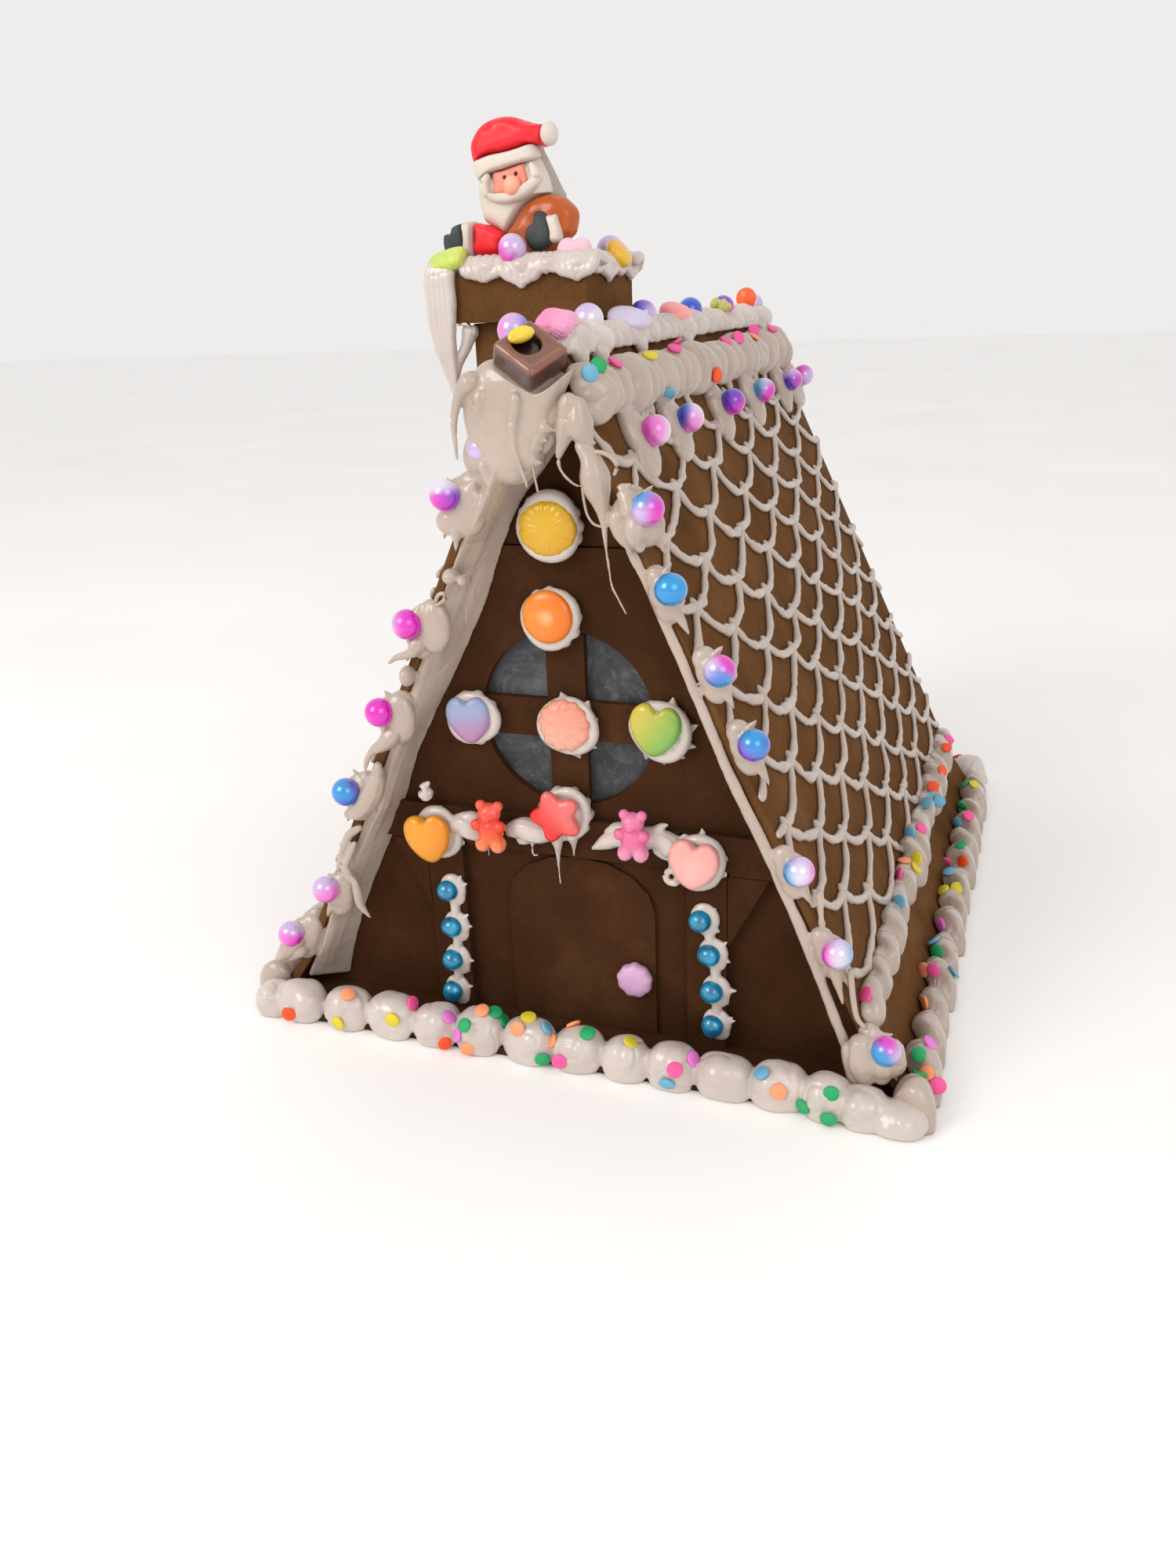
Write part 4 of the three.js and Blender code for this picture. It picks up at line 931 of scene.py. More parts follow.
def ridge_row():
    """Tongues over the ridge, thicker where a sweet is pressed into them."""
    cuts = uneven_cuts(RIDGE_START, ROOF_HALF - 0.8, 6.2, 9.4, 62)
    parts = [piped_row(cuts, 8.4, 9.4, lambda p: tongue(p, 0.5), 63, base=235.6, lean=1.0, lip=1.0,
                       folds=1.0, fold_depth=0.25, spread=0.14, step=0.7, around=40, under=0.35, bow=2.5)]
    for y, size in RIDGE_MOUNDS:
        parts.append(ellipsoid((2, y, 238.4), (7.6 * size, 6.4 * size, 6.4)))
        parts.append(ellipsoid((6.8, y - 3, 236.4), (2.6 * size, 3.4, 4.6 * size), turned((0, 1, 0), -0.4)))
    parts.append(ellipsoid((-8, -124, 240), (6, 6, 5)))
    points, faces = iced(parts, 0.5, 1, seed=65, folds=0.34, fold_size=7, lumps=0.15)
    points[:, 1] = np.clip(points[:, 1], RIDGE_START + 0.2, ROOF_HALF - 0.6)
    points[:, 2] = np.maximum(points[:, 2], CAP_TOP - CAP_FALL * np.abs(points[:, 0]))
    return points, faces


piece("ridge_row", ridge_row(), ICING, ["ridge_icing"])


# ------------------------------------------------------------------ verges
# Place down the slope and height above it of each pearl.
LEFT_PEARLS = [(18, 2), (35, 4), (80, 2), (114, 1), (149, 3), (191, -2), (218, 5)]
RIGHT_PEARLS = [(40, 8), (64, 4), (92, 7), (117, 7), (160, 3), (190, 3), (227, 4)]
VERGE_U = -PEARL_RADIUS - 0.5
VERGE_END = 238
# The white band under the left overhang: places down the slope, and the heights of its two edges there.
BAND_V = [0, 16, 32, 54, 65, 93, 110, 132, 151, 169, 185, 203, 228, 238]
BAND_TOP = [-3.4, -3.4, -3.5, -3.8, -3.6, -4.8, -5.4, -5.8, -6.2, -6.2, -4.8, -3.8, -3.5, -4.5]
BAND_FOOT = [-21, -17, -12.4, -12.4, -14, -12.7, -11.2, -9.8, -12, -12, -11.4, -11.6, -14, -16.5]


def softly(v, places, values):
    """Values between given places, their corners rounded off."""
    return sum(np.interp(v + d, places, values) for d in (-6, -3, 0, 3, 6)) / 5


def fillet():
    """The wide white band under the left overhang, smoothed on in long strokes."""
    wall, sheet = 12.6, -3.3
    v = np.linspace(0.5, VERGE_END - 0.5, 320)
    s = np.linspace(0, 1, 44)
    V, S = np.meshgrid(v, s, indexing="ij")
    flat = 0 * V.ravel()
    top = softly(V, BAND_V, BAND_TOP)
    foot = softly(V, BAND_V, BAND_FOOT)
    end = np.clip((VERGE_END - V) / 3.5, 0.02, 1)
    foot = top + (foot - top) * np.sqrt(1 - (1 - end) ** 2)
    front = -1.0 + 2.4 * smoothstep(60, 110, V)
    streaks = waves(np.stack([V.ravel() / 16, S.ravel() * 15 + V.ravel() * 0.03, flat], -1), 1.3, 72)
    broad = waves(np.stack([V.ravel() / 3, S.ravel() * 6, flat], -1), 7, 73).reshape(V.shape)
    lift = np.sin(np.pi * S) ** 0.8 * (1.5 + 0.6 * broad + 0.24 * streaks.reshape(V.shape))
    for v, _ in LEFT_PEARLS:
        lift = lift + 4.2 * np.exp(-((V - v - 2) / 9.5) ** 2) * (1 - smoothstep(0.25, 0.95, S))
    lift = lift + 3.6 * (1 - smoothstep(24, 62, V)) * (1 - smoothstep(0.5, 1.0, S))
    u = front + (wall - front) * S - 0.62 * lift
    h = top + (foot - top) * S ** 1.15 - 0.5 * lift * (1 - S)
    h = h + 0.5 * broad * S * (1 - S) * 2
    # The ring of each cross-section goes on up the wall and back under the sheet.
    t = np.linspace(0, 1, 6)[None]
    V6 = V[:, :6]
    back = np.stack([V6, wall - 0 * V6, t * (sheet - h[:, -1:]) + h[:, -1:]], -1)
    roof = np.stack([V6, wall + (front[:, :1] - wall) * t, sheet + 0 * V6], -1)
    return loft(np.concatenate([np.stack([V, u, h], -1), back[:, 1:], roof[:, 1:]], 1))


# A ribbon's cross-section: (u out from the sheet's edge, h above its face).
RIBBON = np.array([[-0.3, -0.2], [-1.2, -0.3], [-1.8, -1.0], [-2.0, -2.5], [-1.8, -4.0], [-1.1, -4.9],
                   [0.0, -5.3], [2.0, -4.8], [2.2, -3.4], [-0.3, -3.3]])


def ribbon(side, start, seed):
    """A flat ribbon of icing on the back edge of a roof sheet."""
    v = np.linspace(start, VERGE_END - 2, 220)
    at = np.stack([v, 0 * v, 0 * v], -1)
    wide = 1 + 0.2 * waves(at, 26, seed) + 0.07 * waves(at, 6, seed + 3)
    wide *= np.sqrt(np.clip(1 - (1 - np.clip((v - start + 0.3) / 4, 0, 1)) ** 2, 0.05, 1))
    u, h = (RIBBON[None, :, k] * wide[:, None] for k in (0, 1))
    rings = np.stack([np.broadcast_to(v[:, None], u.shape), ROOF_LENGTH - u, h], -1)
    points, faces = loft(rings)
    return on_slope(side, points), faces


CUSHION_COUNT, CUSHION_LEVELS = 72, 9


def cushion(outline, front, depth, power=0.5):
    """A soft flat-backed form from an outline of (x, z), from y = front + depth out to its front."""
    edge = closed_path(outline, CUSHION_COUNT)
    centre = edge.mean(0)
    levels = [(0.8, 1.0), (0.94, 1.0), (1.0, 0.9)]
    for a in np.linspace(0.12, np.pi / 2 * 0.97, CUSHION_LEVELS):
        levels.append((float(np.cos(a)) ** power, 1 - 0.15 - 0.85 * math.sin(a)))
    rings = []
    for scale, share in levels:
        flat = centre + (edge - centre) * scale
        rings.append(np.stack([flat[:, 0], np.full(CUSHION_COUNT, front + depth * share), flat[:, 1]], -1))
    return loft(rings)


def dab(side, v, h, rng):
    """The dollop behind and below a pearl on a verge, with a drip down the slope and two peaks."""
    size = 1.0 if side < 0 else 0.86
    u = VERGE_U + 4.6
    parts = [ellipsoid((v + 1, u, h - 2.5), (8.0 * size, 3.8, 6.6 * size)),
             ellipsoid((v + 4.5, u + 0.6, h - 4.5), (7.0 * size, 3.2, 4.8 * size)),
             ellipsoid((v - 4, u + 0.8, h - 3.5), (5.2 * size, 3.2, 4.6 * size))]
    tip = rng.uniform(-1, 1)
    parts.append(string([(v + 7, u, h - 2, 2.2), (v + 11 + tip, u - 0.3, h - 1.5, 1.1),
                         (v + 14 + tip, u, h - 1.5, 0.4)]))
    for _ in range(2):
        a = rng.uniform(-0.4, 2.2)
        x, y = math.cos(a), math.sin(a)
        parts.append(string([(v - 3 + 3 * x, u, h - 2 + 2 * y, 1.7),
                             (v - 3 + 7 * x, u - 0.3, h - 2 + 6 * y, 0.4)]))
    return [relaid(part, lambda points: on_slope(side, points)) for part in parts]


# Icing on the front edge, as (px, py, radius) paths in the photo's frame, each with its plane's y.
APEX_STROKES = [
    ([(600.2, 487.2, 3.4), (588.1, 500.5, 2.2), (581.4, 519.3, 1.5), (578.8, 538, 1.1), (579.6, 556.8, 0.9),
      (581.4, 572.9, 0.7), (583, 585, 0.4)], -147),
    ([(657.8, 508.6, 2.0), (656.4, 524.7, 1.9), (654.3, 540.7, 1.7), (654.3, 556.8, 1.4), (657, 575.6, 1.0),
      (663.1, 594.3, 0.8), (669.8, 611.7, 0.6), (672.5, 621.1, 0.4)], -149),
    ([(617.6, 594.3, 2.4), (622.1, 610.4, 1.7), (624.3, 621.1, 1.1), (623.5, 630.5, 1.0)], -146.5),
    ([(677.9, 586.3, 0.4), (681.9, 607.7, 0.35), (685.9, 626.5, 0.35)], -147),
    ([(696, 546, 2.0), (701, 548, 1.2), (707, 549, 0.4)], -146.5),
    ([(688, 560, 2.0), (693, 562, 1.1), (699, 563, 0.4)], -146.5),
    ([(684, 570, 2.0), (688, 572, 1.1), (692, 572, 0.4)], -146.5),
    ([(681, 588, 1.8), (686, 590, 1.0), (691, 590, 0.4)], -146.5),
    ([(614, 505, 2.6), (611, 516, 2.9), (614, 526, 2.4)], -147),
    ([(612, 534, 1.4), (606, 540, 1.4), (605, 548, 1.3), (611, 552, 1.2)], -147),
    ([(724.7, 513.9, 3.0), (723.4, 535.4, 3.2), (720.7, 551.4, 3.0), (716.7, 567.5, 1.9),
      (712.7, 583.6, 1.0),
      (714, 597, 0.6), (722.1, 609, 0.5), (732.8, 617.9, 0.4), (740, 620.3, 0.35)], -146.5),
    ([(736.8, 519.3, 3.0), (738.1, 538, 4.2), (744.8, 554.1, 3.4), (754.2, 564.8, 1.4),
      (758.8, 564.8, 0.5)], -146),
    ([(742.1, 570.2, 2.1), (752.9, 586.3, 3.35), (758.5, 607.7, 4.6), (762.5, 626.5, 4.0),
      (767.1, 645.2, 2.6), (770.8, 669.3, 1.1), (772.5, 696.1, 0.6), (776.4, 722.9, 0.45),
      (780.5, 747, 0.4), (789.6, 765.7, 0.35),
      (798.7, 783.2, 0.3)], -146),
    ([(758.2, 576.9, 0.8), (769, 577.7, 0.7), (779.7, 583.6, 0.7), (787.2, 594.3, 0.7),
      (783.7, 605, 0.5)], -146.5),
    ([(743.5, 621.1, 0.6), (744.8, 637.2, 0.45), (748.9, 655.9, 0.4), (756.9, 668, 0.4),
      (766.8, 672, 0.35)], -146.5)]
LEFT_STROKES = [
    ([(570, 622, 1.6), (571, 609, 0.4)], -147), ([(600, 626, 2.4), (607, 610, 0.4)], -145),
    ([(582, 676, 2.4), (582, 690, 1.2), (581, 703, 0.4)], -146),
    ([(556, 766, 0.6), (559, 759, 0.7), (566, 757, 0.7), (568, 763, 0.7), (562, 769, 0.6),
      (556, 772, 0.6)], -146),
    ([(533, 782, 2.0), (537, 772, 0.7), (546, 775, 0.5)], -146),
    ([(532, 822, 3.2), (526, 832, 2.2), (516, 836, 1.4), (505, 839, 1.0), (496, 846, 0.6)], -147),
    ([(500, 938, 3.6), (490, 949, 2.8), (478, 956, 1.8), (470, 965, 1.1), (466, 980, 0.7), (467, 996, 0.4),
      (468, 1004, 0.4)], -147),
    ([(482, 978, 1.8), (481, 994, 3.2), (472, 1016, 4.2), (458, 1034, 3.6), (446, 1038, 2.0)], -146),
    ([(458, 1056, 1.4), (446, 1064, 1.7), (438, 1080, 1.4), (433, 1098, 1.0), (431, 1110, 0.8)], -146),
    ([(452, 1076, 1.1), (446, 1090, 1.6), (440, 1104, 1.7), (444, 1114, 1.8)], -146),
    ([(444, 1118, 1.8), (452, 1124, 1.5), (456, 1136, 1.8), (460, 1154, 1.7), (472, 1170, 0.6)], -146),
    ([(378, 1198, 4.2), (368, 1210, 3.8), (355, 1222, 1.4)], -147),
    ([(384, 1212, 3.0), (372, 1222, 1.4)], -147)]
RIGHT_STROKES = [
    ([(806, 650, 4.2), (798, 634, 2.8), (791, 623, 1.4), (805, 618, 0.5)], -147),
    ([(812, 672, 4.6), (812, 688, 3.4), (816, 698, 1.8)], -147),
    ([(788, 662, 3.2), (792, 680, 2.6), (802, 700, 1.0), (806, 708, 0.4)], -146),
    ([(1082, 1338, 2.6), (1086, 1356, 3.0), (1090, 1376, 2.4)], -147),
    ([(1098, 1335, 4.6), (1100, 1354, 5.4), (1104, 1370, 4.0)], -147),
    ([(1120, 1340, 4.6), (1124, 1358, 5.2), (1124, 1370, 3.6)], -146.5),
    ([(1140, 1338, 3.4), (1144, 1352, 3.0), (1138, 1366, 2.4)], -146),
    ([(1085, 1239, 1.0), (1088, 1273, 1.0), (1093, 1298, 0.9), (1102, 1310, 0.7)], -145),
    ([(1065, 1240, 2.2), (1070, 1260, 1.3), (1075, 1280, 0.5)], -146),
    ([(1046, 1140, 1.4), (1047, 1162, 1.0), (1049, 1186, 0.6)], -145.5)]
RIGHT_STRING = [(803, 699), (830, 755), (847, 792), (870, 844), (899, 913), (928, 983), (958, 1045),
                (985, 1102),
                (1001, 1140), (1018, 1177), (1040, 1230), (1055, 1273), (1077, 1329), (1084, 1345)]
APEX_SHEET = [(632.3, 457.7), (613.6, 461.7), (600.2, 473.8), (589.5, 492.5), (585.4, 511.3), (586.3, 530),
              (590, 551.4), (596.2, 572.9), (604.2, 586.3), (614.9, 594.3), (623, 613), (640.4, 621.1),
              (656.4, 621.1), (672.5, 613), (684.6, 602.3), (689.9, 586.3), (691.3, 571.5), (698, 562.2),
              (706, 550.1), (702, 539.4), (707.3, 519.3), (718, 495.2), (726.1, 473.8), (728.2, 457.7),
              (710, 447)]
# Icing behind the strokes: (px, py) in the photo's frame, half width and half height.
FRONT_LUMPS = [(588, 650, 8.0, 9.0), (574, 666, 5.4, 4.6), (573, 737, 2.8, 2.8), (590, 741, 2.0, 2.0),
               (550, 800, 6.5, 9.0), (517, 864, 2.6, 3.6), (506, 918, 6.4, 9.0), (805, 664, 7.0, 8.5),
               (820, 672, 6.5, 6.5), (1108, 1358, 9.0, 7.6), (1130, 1356, 6.5, 6.4)]
# Strokes that start thinner than this stay out of the joined skin, which would swallow them.
THREAD = 1.05
CHOCOLATE_TURN = turned((1, 0, 0), 0.64) @ turned((0, 1, 0), 0.36) @ turned((0, 0, 1), 1.08)
CHOCOLATE_AT = np.array([-1.0, -143.4, 236.2])
CHOCOLATE_HALF = np.array([8.0, 8.0, 4.0])


def on_chocolate(points):
    return points @ CHOCOLATE_TURN.T + CHOCOLATE_AT


def chocolate_room(points):
    """Keeps icing behind the chocolate, with a soft lip of it just beyond the chocolate's sides."""
    local = (points - CHOCOLATE_AT) @ CHOCOLATE_TURN
    beyond = np.maximum(np.abs(local[:, :2]).max(1) - CHOCOLATE_HALF[0], 0)
    ceiling = -3.9 + 0.25 * beyond ** 2
    high = (beyond < 6) & (local[:, 2] > ceiling) & (local[:, 2] < 12)
    local[high, 2] = ceiling[high]
    return on_chocolate(local)


def strokes_of(strokes):
    return [string(drawn(path, y)) for path, y in strokes]


def right_string():
    """The flat string of icing down the right edge of the gable, widening towards its foot."""
    places = [on_plane(px, py, -143.2) for px, py in RIGHT_STRING]
    widths = np.linspace(1.65, 2.2, len(places))
    path = smooth_path([(*place, width) for place, width in zip(places, widths)])
    wobble = 1 + 0.14 * waves(path[:, :3], 22, 91) + 0.07 * waves(path[:, :3], 6, 94)
    return tube(path[:, :3], path[:, 3] * wobble, 12, (0, 1, 0), 0.55)


def front_verges():
    rng = np.random.default_rng(81)
    parts = []
    for side, pearls in ((-1, LEFT_PEARLS), (1, RIGHT_PEARLS)):
        for v, h in pearls:
            parts += dab(side, v, h, rng)
    parts.append(cushion(drawn_outline(APEX_SHEET, -146.5), -148.8, 7, 0.42))
    parts.append(ellipsoid((0, -143.5, 222), (9, 3.5, 14)))
    for px, py, width, height in FRONT_LUMPS:
        x, _, z = on_plane(px, py, -146)
        parts.append(ellipsoid((x, -144.5, z), (width, 3.8, height)))
    strokes = APEX_STROKES + LEFT_STROKES + RIGHT_STROKES
    parts += strokes_of([stroke for stroke in strokes if stroke[0][0][2] > THREAD])
    parts.append(relaid(fillet(), lambda points: on_slope(-1, points)))
    parts.append(right_string())
    skin = iced(parts, 0.42, 4, seed=85, folds=0.12, fold_size=8, lumps=0.1)
    threads = strokes_of([stroke for stroke in strokes if stroke[0][0][2] <= THREAD])
    return relaid(merged([skin, *threads]), chocolate_room)


piece("verge_front_dabs", front_verges(), SHADED_ICING, ["verge_icing_front"])

# Place and size of each dollop of the cluster at the back's apex.
BACK_APEX = ((-9, 219, 7.5), (0, 215, 7.0), (9, 220, 7.5), (-4, 227, 7.5), (5, 228, 7.0), (0, 221, 8.0))


def back_verge():
    """Small dollops down both edges of the back, over a ribbon, and a cluster where they meet."""
    parts = []
    rng = np.random.default_rng(95)
    for side in (-1, 1):
        v = 8.0
        while v < 232:
            size = rng.uniform(0.85, 1.1)
            lump = ellipsoid((v, ROOF_LENGTH + 0.6, -4.2), (6.2 * size, 2.6 * size, 3.4 * size))
            parts.append(relaid(lump, lambda points, side=side: on_slope(side, points)))
            v += rng.uniform(7, 9)
        parts.append(ribbon(side, 3.5, 97 + side))
    for x, z, size in BACK_APEX:
        parts.append(ellipsoid((x, 146.4, z), (size, 4.4 * size / 8, size * 0.9)))
    return iced(parts, 0.6, 3, seed=99, folds=0.35, fold_size=6, lumps=0.2, fine=0.06)


piece("verge_back", back_verge(), SHADED_ICING, ["verge_icing_back"])


# ------------------------------------------------------------------ icing on the chimney
RIM_TOP = 266.2
# The collar's faces: outward, along, and each leaf's place along the face, low end and half width.
RIM_FACES = [
    ((0, -1), (1, 0), [(-11, 256.2, 7.0), (1.8, 254.0, 7.2), (12.5, 259.5, 5.0), (22.6, 255.4, 6.4)]),
    ((1, 0), (0, 1), [(-17, 258.0, 6.0), (-3.5, 255.0, 7.0), (9, 257.2, 6.0), (20, 255.6, 6.5)]),
    ((0, 1), (-1, 0), [(-19, 256.4, 6.5), (-6, 255.0, 7.0), (7, 257.4, 6.4), (20, 255.8, 6.6)]),
    ((-1, 0), (0, -1), [(-19, 256.0, 6.6), (-6, 258.0, 6.0), (6, 254.8, 7.0), (17, 257.2, 6.0)])]
# The drip from the front corner: x, its spread between strands, y, height and radius of each stop.
CORNER_DRIP = [(-60.5, 1.6, -67.5, 263.6, 2.3), (-63.8, 3.4, -71.0, 261.5, 2.4),
               (-64.2, 3.8, -71.2, 249, 2.1), (-64.2, 2.8, -70.8, 238, 1.8),
               (-62.8, 1.5, -70.2, 228, 1.3), (-61.7, 0.4, -69.8, 220, 0.7)]


def rim_leaf(outward, along, place, low, half, rng):
    """A leaf of icing folded over the collar's edge: ridges that run together at its tip."""
    outward, along = np.array([*outward, 0.0]), np.array([*along, 0.0])
    middle = np.array([*CHIMNEY, 0.0])
    slant = rng.uniform(-1.5, 2.5)
    parts = []
    for t in np.linspace(-1, 1, 6):
        ridge = ((-8.0, 1.15, 263.2, 2.1), (-2.0, 1.05, 264.3, 2.3), (1.0, 0.95, 261.4, 2.0),
                 (1.2, 0.68, (261 + low) / 2 + 1.5 * abs(t), 1.8),
                 (1.0, 0.3, low + 1.6 + 2.6 * abs(t), 1.25))
        stops = []
        for out, share, z, radius in ridge:
            aside = place - slant * (1 - (263 - z) / 9) + half * share * t
            spot = middle + outward * (HALF_COLLAR + out) + along * aside
            stops.append((spot[0], spot[1], z, radius))
        parts.append(string(stops, 8))
    core = middle + outward * (HALF_COLLAR - 3) + along * place
    parts.append(ellipsoid((core[0], core[1], 262.4), (6.4, 6.4, 3.2)))
    return parts


def chimney_rim():
    """Leaves of icing all round the collar, the filled top, and the long drip from its front corner."""
    rng = np.random.default_rng(101)
    parts = []
    for outward, along, leaves in RIM_FACES:
        for place, low, half in leaves:
            parts += rim_leaf(outward, along, place, low, half, rng)
    for _ in range(44):
        a = rng.uniform(0, 2 * np.pi)
        r = rng.uniform(0, 19)
        centre = (CHIMNEY[0] + r * math.cos(a), CHIMNEY[1] + r * math.sin(a), 262.2)
        parts.append(ellipsoid(centre, (5, 5, rng.uniform(2.6, 3.8)), turned((0, 0, 1), a)))
    for t in (-1, -0.5, 0.05, 0.55, 1):
        parts.append(string([(x + spread * t, y, z, radius) for x, spread, y, z, radius in CORNER_DRIP]))
    parts.append(string([(-55.9, -66.4, 241.5, 3.3), (-57.6, -67.2, 236.5, 2.1), (-60.0, -68.6, 231, 1.6),
                         (-61.4, -69.4, 224, 1.0)]))
    points, faces = iced(parts, 0.45, 2, seed=105, folds=0.12, fold_size=6, lumps=0.12)
    points[:, 2] = np.clip(points[:, 2], 200, RIM_TOP + 2.3)
    return clear_of_chimney(points), faces


piece("chimney_rim", chimney_rim(), ICING, ["chimney_icing"])


# ------------------------------------------------------------------ pearls and beads
SKY, BLUE, PURPLE = rgb(10, 148, 215), rgb(40, 74, 205), rgb(120, 50, 200)
MAGENTA, PINK, LILAC, WHITE = rgb(225, 10, 190), rgb(240, 120, 210), rgb(205, 180, 225), rgb(228, 220, 236)
TINTS = {"s": SKY, "b": BLUE, "p": PURPLE, "m": MAGENTA, "k": PINK, "l": LILAC, "w": WHITE}
WAYS = {"u": (0, 1, 0.2), "d": (0, -1, 0.2), "l": (-1, 0, 0.2), "r": (1, 0, 0.2), "c": (0, 0, 1),
        "q": (-0.8, 0.8, 0.3), "e": (0.8, 0.8, 0.3), "z": (-0.8, -0.8, 0.3), "x": (0.8, -0.8, 0.3)}
SEEN_AXES = np.array([RIGHT, UP, -AHEAD])
TINT_EDGE = 4.5


def pearl(centre, paint):
    """A bead and its colours. "lm rw" paints it magenta on the left and white on the right."""
    points, faces = unit_ball(4)
    weights, tints = [], []
    for way, tint in paint.split():
        direction = np.array(WAYS[way], float) @ SEEN_AXES
        weights.append(np.exp(TINT_EDGE * points @ (direction / np.linalg.norm(direction))))
        tints.append(TINTS[tint])
    weights = np.array(weights)
    weights /= weights.sum(0)
    return (points * PEARL_RADIUS + np.asarray(centre, float), [faces]), weights.T @ np.array(tints)


def pearl_piece(name, specs):
    made = [pearl(centre, paint) for centre, paint in specs]
    piece(name, merged([shape for shape, _ in made]), PEARL,
          colours=np.concatenate([colours for _, colours in made]))


LEFT_PAINT = ["us ll dl", "uw uw dm xp", "ll rm um dm cm", "um dm cm rm", "ls cs us ep db", "ql dk",
              "ul dm zk"]
RIGHT_PAINT = ["qs us em xm zl", "us cs ds", "em lw ds zb", "us rb cs zp", "ls rm cw ul", "lm cw rs ul",
               "um zs ls rl"]
ROPE_PAINT = ["lm rw ck", "lb rw xk", "qb xm cp", "qs rm uw", "ul xm db", "um rl"]
# The side and place of the pearl that sits behind the icing of the apex.
HIDDEN_PEARL = (-1, 18)


def verge_specs():
    specs = []
    for side, places, paints in ((-1, LEFT_PEARLS, LEFT_PAINT), (1, RIGHT_PEARLS, RIGHT_PAINT)):
        for (v, h), paint in zip(places, paints):
            inset = 5.0 if (side, v) == HIDDEN_PEARL else 0.0
            specs.append((on_slope(side, (v, VERGE_U + inset, h + 1 - 0.5 * inset)), paint))
    return specs


pearl_piece("verge_pearls", verge_specs())
pearl_piece("rope_pearls", [
    (on_slope(side, (20, u, 8)), paint) for side in (-1, 1) for u, paint in zip(ROPE_PEARLS, ROPE_PAINT)
    if not beside_chimney(side, u)])
RIDGE_TOP = 245.2
RIDGE_PEARLS = [((0, -96, RIDGE_TOP - 0.4), "ul rw"), ((0, -38, RIDGE_TOP - 0.4), "lb up rl"),
                ((0, 25, RIDGE_TOP - 0.4), "us rb cb"), ((0, 79, RIDGE_TOP - 0.4), "up dm"),
                ((0, 138, RIDGE_TOP - 0.4), "ul dl"), ((-13.2, -126, RIDGE_TOP - 2.2), "lk rb cl")]
pearl_piece("ridge_pearls", RIDGE_PEARLS)
pearl_piece("rim_pearls", [((-36.8, -68.5, RIM_TOP + 1.5), "uw zm rl cl"),
                           ((-15.6, -27.5, RIM_TOP + 0.9), "ul dl")])


# ------------------------------------------------------------------ sweets
SWEET_EDGE, SWEET_RINGS = 0.45, 9


def domed(outline, thickness):
    """A sweet: an outline swelling at its sides and domed over the top, flat beneath."""
    centre = outline.mean(0)
    levels = [(0.9, 0.0), (0.985, SWEET_EDGE * 0.5)]
    for a in np.linspace(0, 1, SWEET_RINGS)[:-1] * np.pi / 2:
        levels.append((float(np.cos(a) ** 0.55), float(SWEET_EDGE + (1 - SWEET_EDGE) * np.sin(a) ** 0.9)))
    stack = [np.concatenate([centre + (outline - centre) * s, np.full((len(outline), 1), z * thickness)], 1)
             for s, z in levels]
    return loft(stack)


def rotated(outline, angle):
    cos, sin = math.cos(angle), math.sin(angle)
    return outline @ np.array([[cos, sin], [-sin, cos]])


# The left half of a heart one wide, from its notch to its tip.
HEART_HALF = [(0.0, 0.37), (-0.14, 0.47), (-0.31, 0.46), (-0.455, 0.3), (-0.48, 0.05), (-0.38, -0.2),
              (-0.2, -0.41), (0.0, -0.5)]
OUTLINE_COUNT = 84
ROUND = 2 * np.pi * np.arange(OUTLINE_COUNT) / OUTLINE_COUNT


def heart(width, angle=0.0):
    """A fat heart with a shallow notch and a blunt tip."""
    mirrored_half = [(-x, y) for x, y in HEART_HALF[-2:0:-1]]
    return rotated(closed_path(HEART_HALF + mirrored_half, OUTLINE_COUNT) * width, angle)


def round_outline(radius, lobes=0, depth=0.0, angle=0.0):
    """A circle, or with lobes a scalloped one."""
    reach = radius * (1 - depth + depth * np.cos(lobes * ROUND))
    return rotated(np.stack([-reach * np.sin(ROUND), reach * np.cos(ROUND)], -1), angle)


def bar_outline(half_x, half_y, fullness=4.0):
    """An oblong with round corners."""
    x, y = -np.sin(ROUND), np.cos(ROUND)
    reach = (np.abs(x) ** fullness + np.abs(y) ** fullness) ** (-1 / fullness)
    return np.stack([x * reach * half_x, y * reach * half_y], -1)


def ragged(outline, depth, size, seed):
    """The outline with a torn edge."""
    flat = np.concatenate([outline, 0 * outline[:, :1]], 1)
    return outline * (1 + depth * waves(flat, size, seed))[:, None]


def fade(way, first, second, low=-0.5, high=0.5):
    """A paint that runs from the first colour to the second along a way across the points."""
    first, second = rgb(*first), rgb(*second)

    def paint(points):
        values = points @ np.asarray(way, float)
        share = smoothstep(low, high, (values - values.mean()) / (np.ptp(values) + 1e-9))
        return first + (second - first) * share[:, None]
    return paint


def spotted(base, tint, radius, at=(0.0, 0.0)):
    """The base paint with a soft spot of another tint on the sweet's top."""
    def paint(points):
        colours = base(points)
        reach = np.hypot(*(points[:, :2] - at).T)
        share = (1 - smoothstep(radius * 0.6, radius * 1.1, reach)) * (points[:, 2] > 1.5)
        return colours + (rgb(*tint) - colours) * share[:, None]
    return paint


DOLLOP_HEIGHT, DOLLOP_SIZE = 0.42, 0.86


